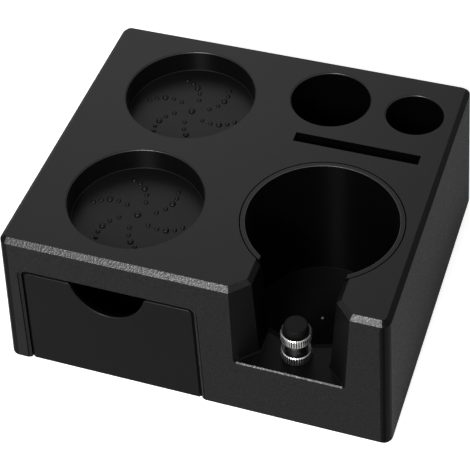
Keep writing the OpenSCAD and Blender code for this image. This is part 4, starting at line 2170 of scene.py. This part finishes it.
FINISHES = (
    MouldedPlastic("grained_plastic", shade=0.0065, sheen_level=0.12, grain_depth=0.11 * MM,
                   sparkle=0.8, contrast=0.5),
    # Painted shade: dimmer copy of the grained plastic for the side walls.
    MouldedPlastic("shaded_side_plastic", shade=0.006, roughness=0.5, sheen_level=0.05,
                   grain_depth=0.11 * MM, sparkle=0.8, contrast=0.5),
    MouldedPlastic("satin_plastic", shade=0.0055, roughness=0.42, sheen_level=0.11,
                   grain_depth=0.012 * MM, sparkle=0.25),
    MouldedPlastic("stud_plastic", shade=0.0025, roughness=0.36, sheen_level=0.15,
                   grain_depth=0.006 * MM, sparkle=0.15),
    # Painted shade: darker copy of the plastic for the notch, the bevels beside it and the
    # corners.
    MouldedPlastic("half_shade_plastic", shade=0.002, roughness=0.42, sheen_level=0.048,
                   grain_depth=0.008 * MM, sparkle=0.2),
    # Painted shade: darker copy of the plastic for the recess walls, with real turned marks.
    MouldedPlastic("turned_shaded_plastic", shade=0.002, roughness=0.42, sheen_level=0.05,
                   grain_depth=0.006 * MM, sparkle=0.15, turned=True),
    # Painted shade: slightly darker copy of the deck plastic for the recess floors.
    MouldedPlastic("shaded_floor_plastic", roughness=0.42, sheen_level=0.085, grain_depth=0.01 * MM,
                   sparkle=0.2),
    # Painted highlight: copy of the plastic with strong sheen for the front bevels and the sill;
    # the coarse grain is the real texture.
    MouldedPlastic("lit_bevel_plastic", roughness=0.36, sheen_level=0.47, grain_scale=1150,
                   grain_depth=0.34 * MM, sparkle=0.9, contrast=0.5),
    MouldedPlastic("smooth_plastic", shade=0.0026, roughness=0.34, sheen_level=0.075,
                   grain_depth=0.008 * MM, sparkle=0.2),
    # Painted shade: near-black copy with real turned marks for the liner's inner wall.
    MouldedPlastic("shaded_lining_plastic", shade=0.0012, roughness=0.4, sheen_level=0.024,
                   grain_depth=0.006 * MM, sparkle=0.15, turned=True),
    # Painted shade: darker copy of the plastic for the liner's floor.
    MouldedPlastic("shaded_cup_plastic", shade=0.003, roughness=0.36, sheen_level=0.08,
                   grain_depth=0.006 * MM, sparkle=0.15),
    # Painted shade: near-black copy of the plastic for areas in deep shade.
    MouldedPlastic("deep_shade_plastic", shade=0.0008, roughness=0.5, sheen_level=0.03,
                   grain_depth=0.006 * MM, sparkle=0.15),
    # Painted highlight: copy of the plastic with stronger sheen for the rims of the hollows.
    MouldedPlastic("lit_rim_plastic", roughness=0.34, sheen_level=0.4, grain_depth=0.01 * MM,
                   sparkle=0.2),
    # Painted highlight: lighter copy with strong sheen for the liner's edges.
    MouldedPlastic("lit_ring_plastic", shade=0.01, roughness=0.46, sheen_level=0.6,
                   grain_depth=0.01 * MM, sparkle=0.3),
    # Painted highlight: lighter copy with stronger sheen for the drawer's upward edges.
    MouldedPlastic("lit_edge_plastic", roughness=0.34, sheen_level=0.24, grain_depth=0.01 * MM,
                   sparkle=0.2),
    # Painted highlight: a pale colour on the gate mark stands in for its glint.
    MouldedPlastic("glint_painted_gate", shade=0.3, roughness=0.4, sheen_level=0.3,
                   grain_depth=0.01 * MM, sparkle=0.3),
    PolishedNickel("knurled_nickel", (0.6, 0.6, 0.59), 0.3),
    # Painted shade: a darker copy of the knurled nickel for the lower ring.
    PolishedNickel("shaded_low_knurl_nickel", (0.26, 0.26, 0.255), 0.3),
    PolishedNickel("polished_nickel", (0.55, 0.55, 0.54), 0.24),
    # Painted shade: near-black copy of the nickel for end faces and groove flanks.
    PolishedNickel("shaded_faced_nickel", (0.025, 0.025, 0.025), 0.25),
    # Painted shade: dark copy of the nickel for the neck.
    PolishedNickel("shaded_neck_nickel", (0.13, 0.13, 0.13), 0.2),
    SoftRubber("soft_rubber"),
    ZincPlate("zinc_plate"),
)

# Looks of each piece's areas, in slot order; the shaded and lit copies paint light and shade
HOUSING_LOOKS = ("grained_plastic", "satin_plastic", "half_shade_plastic", "lit_bevel_plastic",
                 "deep_shade_plastic", "lit_rim_plastic", "shaded_side_plastic", "turned_shaded_plastic", "shaded_floor_plastic")
LINER_LOOKS = ("shaded_lining_plastic", "lit_ring_plastic", "satin_plastic", "deep_shade_plastic",
               "glint_painted_gate", "shaded_cup_plastic")
DRAWER_LOOKS = ("smooth_plastic", "deep_shade_plastic", "lit_edge_plastic")
# The lower ring's knurl uses a darker copy of the nickel that paints shade.
BASE_LOOKS = ("shaded_low_knurl_nickel", "polished_nickel", "shaded_faced_nickel", "shaded_neck_nickel")
HEAD_LOOKS = ("knurled_nickel", "polished_nickel", "shaded_faced_nickel", "shaded_neck_nickel")

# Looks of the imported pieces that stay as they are, by the start of their names
CARRIED_LOOKS = {"base_plate": "satin_plastic", "base_screws": "zinc_plate",
                 "foot_": "soft_rubber"}


def build_housing(looks: dict[str, bpy.types.Material]) -> None:
    """Build the housing, the marks in its recesses, the liner and the drawer.

    Args:
        looks: The materials by name.
    """
    well, notch, drawer = WellSize(), NotchSize(), DrawerSize()
    housing = Housing(SHELL, HOLES, SlotSize(), well, notch, drawer)
    shell = housing.build(*(looks[name] for name in HOUSING_LOOKS))
    install(shell, Body.HOUSING, Slot.BODY, "housing")
    front, back = HOLES[:2]
    marks = RecessMarks(front.x, front.y, front.floor)
    front_marks = marks.build(f"{front.name}_marks", looks["stud_plastic"])
    way = metres(back.x - front.x, back.y - front.y, back.floor - front.floor)
    back_marks = copied(front_marks, f"{back.name}_marks", way)
    install(front_marks, Body.HOUSING, Slot.BODY)
    install(back_marks, Body.HOUSING, Slot.BODY)
    liner = WellLiner(well, notch, SHELL.top).build(*(looks[name] for name in LINER_LOOKS))
    install(liner, Body.HOUSING, Slot.LINER, "well_liner")
    tray = Drawer(drawer, SHELL).build(*(looks[name] for name in DRAWER_LOOKS))
    install(tray, Body.DRAWER, Slot.DRAWER, "drawer")


def build_post(looks: dict[str, bpy.types.Material]) -> None:
    """Build the three parts of the handle support.

    Args:
        looks: The materials by name.
    """
    post = SupportPost(PostSize())
    base = post.build_base(*(looks[name] for name in BASE_LOOKS))
    install(base, Body.HOUSING, Slot.POST, "support_base")
    head = post.build_head(*(looks[name] for name in HEAD_LOOKS))
    install(head, Body.HEAD, Slot.POST, "support_head")
    install(post.build_pad(looks["soft_rubber"]), Body.PAD, Slot.PAD, "support_pad")


def main() -> None:
    """Build the pieces in order, then the studio."""
    logging.basicConfig(level=logging.INFO, format="%(message)s")
    looks = {finish.name: finish.build() for finish in FINISHES}
    build_housing(looks)
    build_post(looks)
    for start, look in CARRIED_LOOKS.items():
        for name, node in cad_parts.items():
            if name.startswith(start):
                dress(node, looks[look])
                LOG.info("%s: %s", name, look)

    Studio(boxes=LIGHTS).build()


if __name__ == "__main__":
    main()
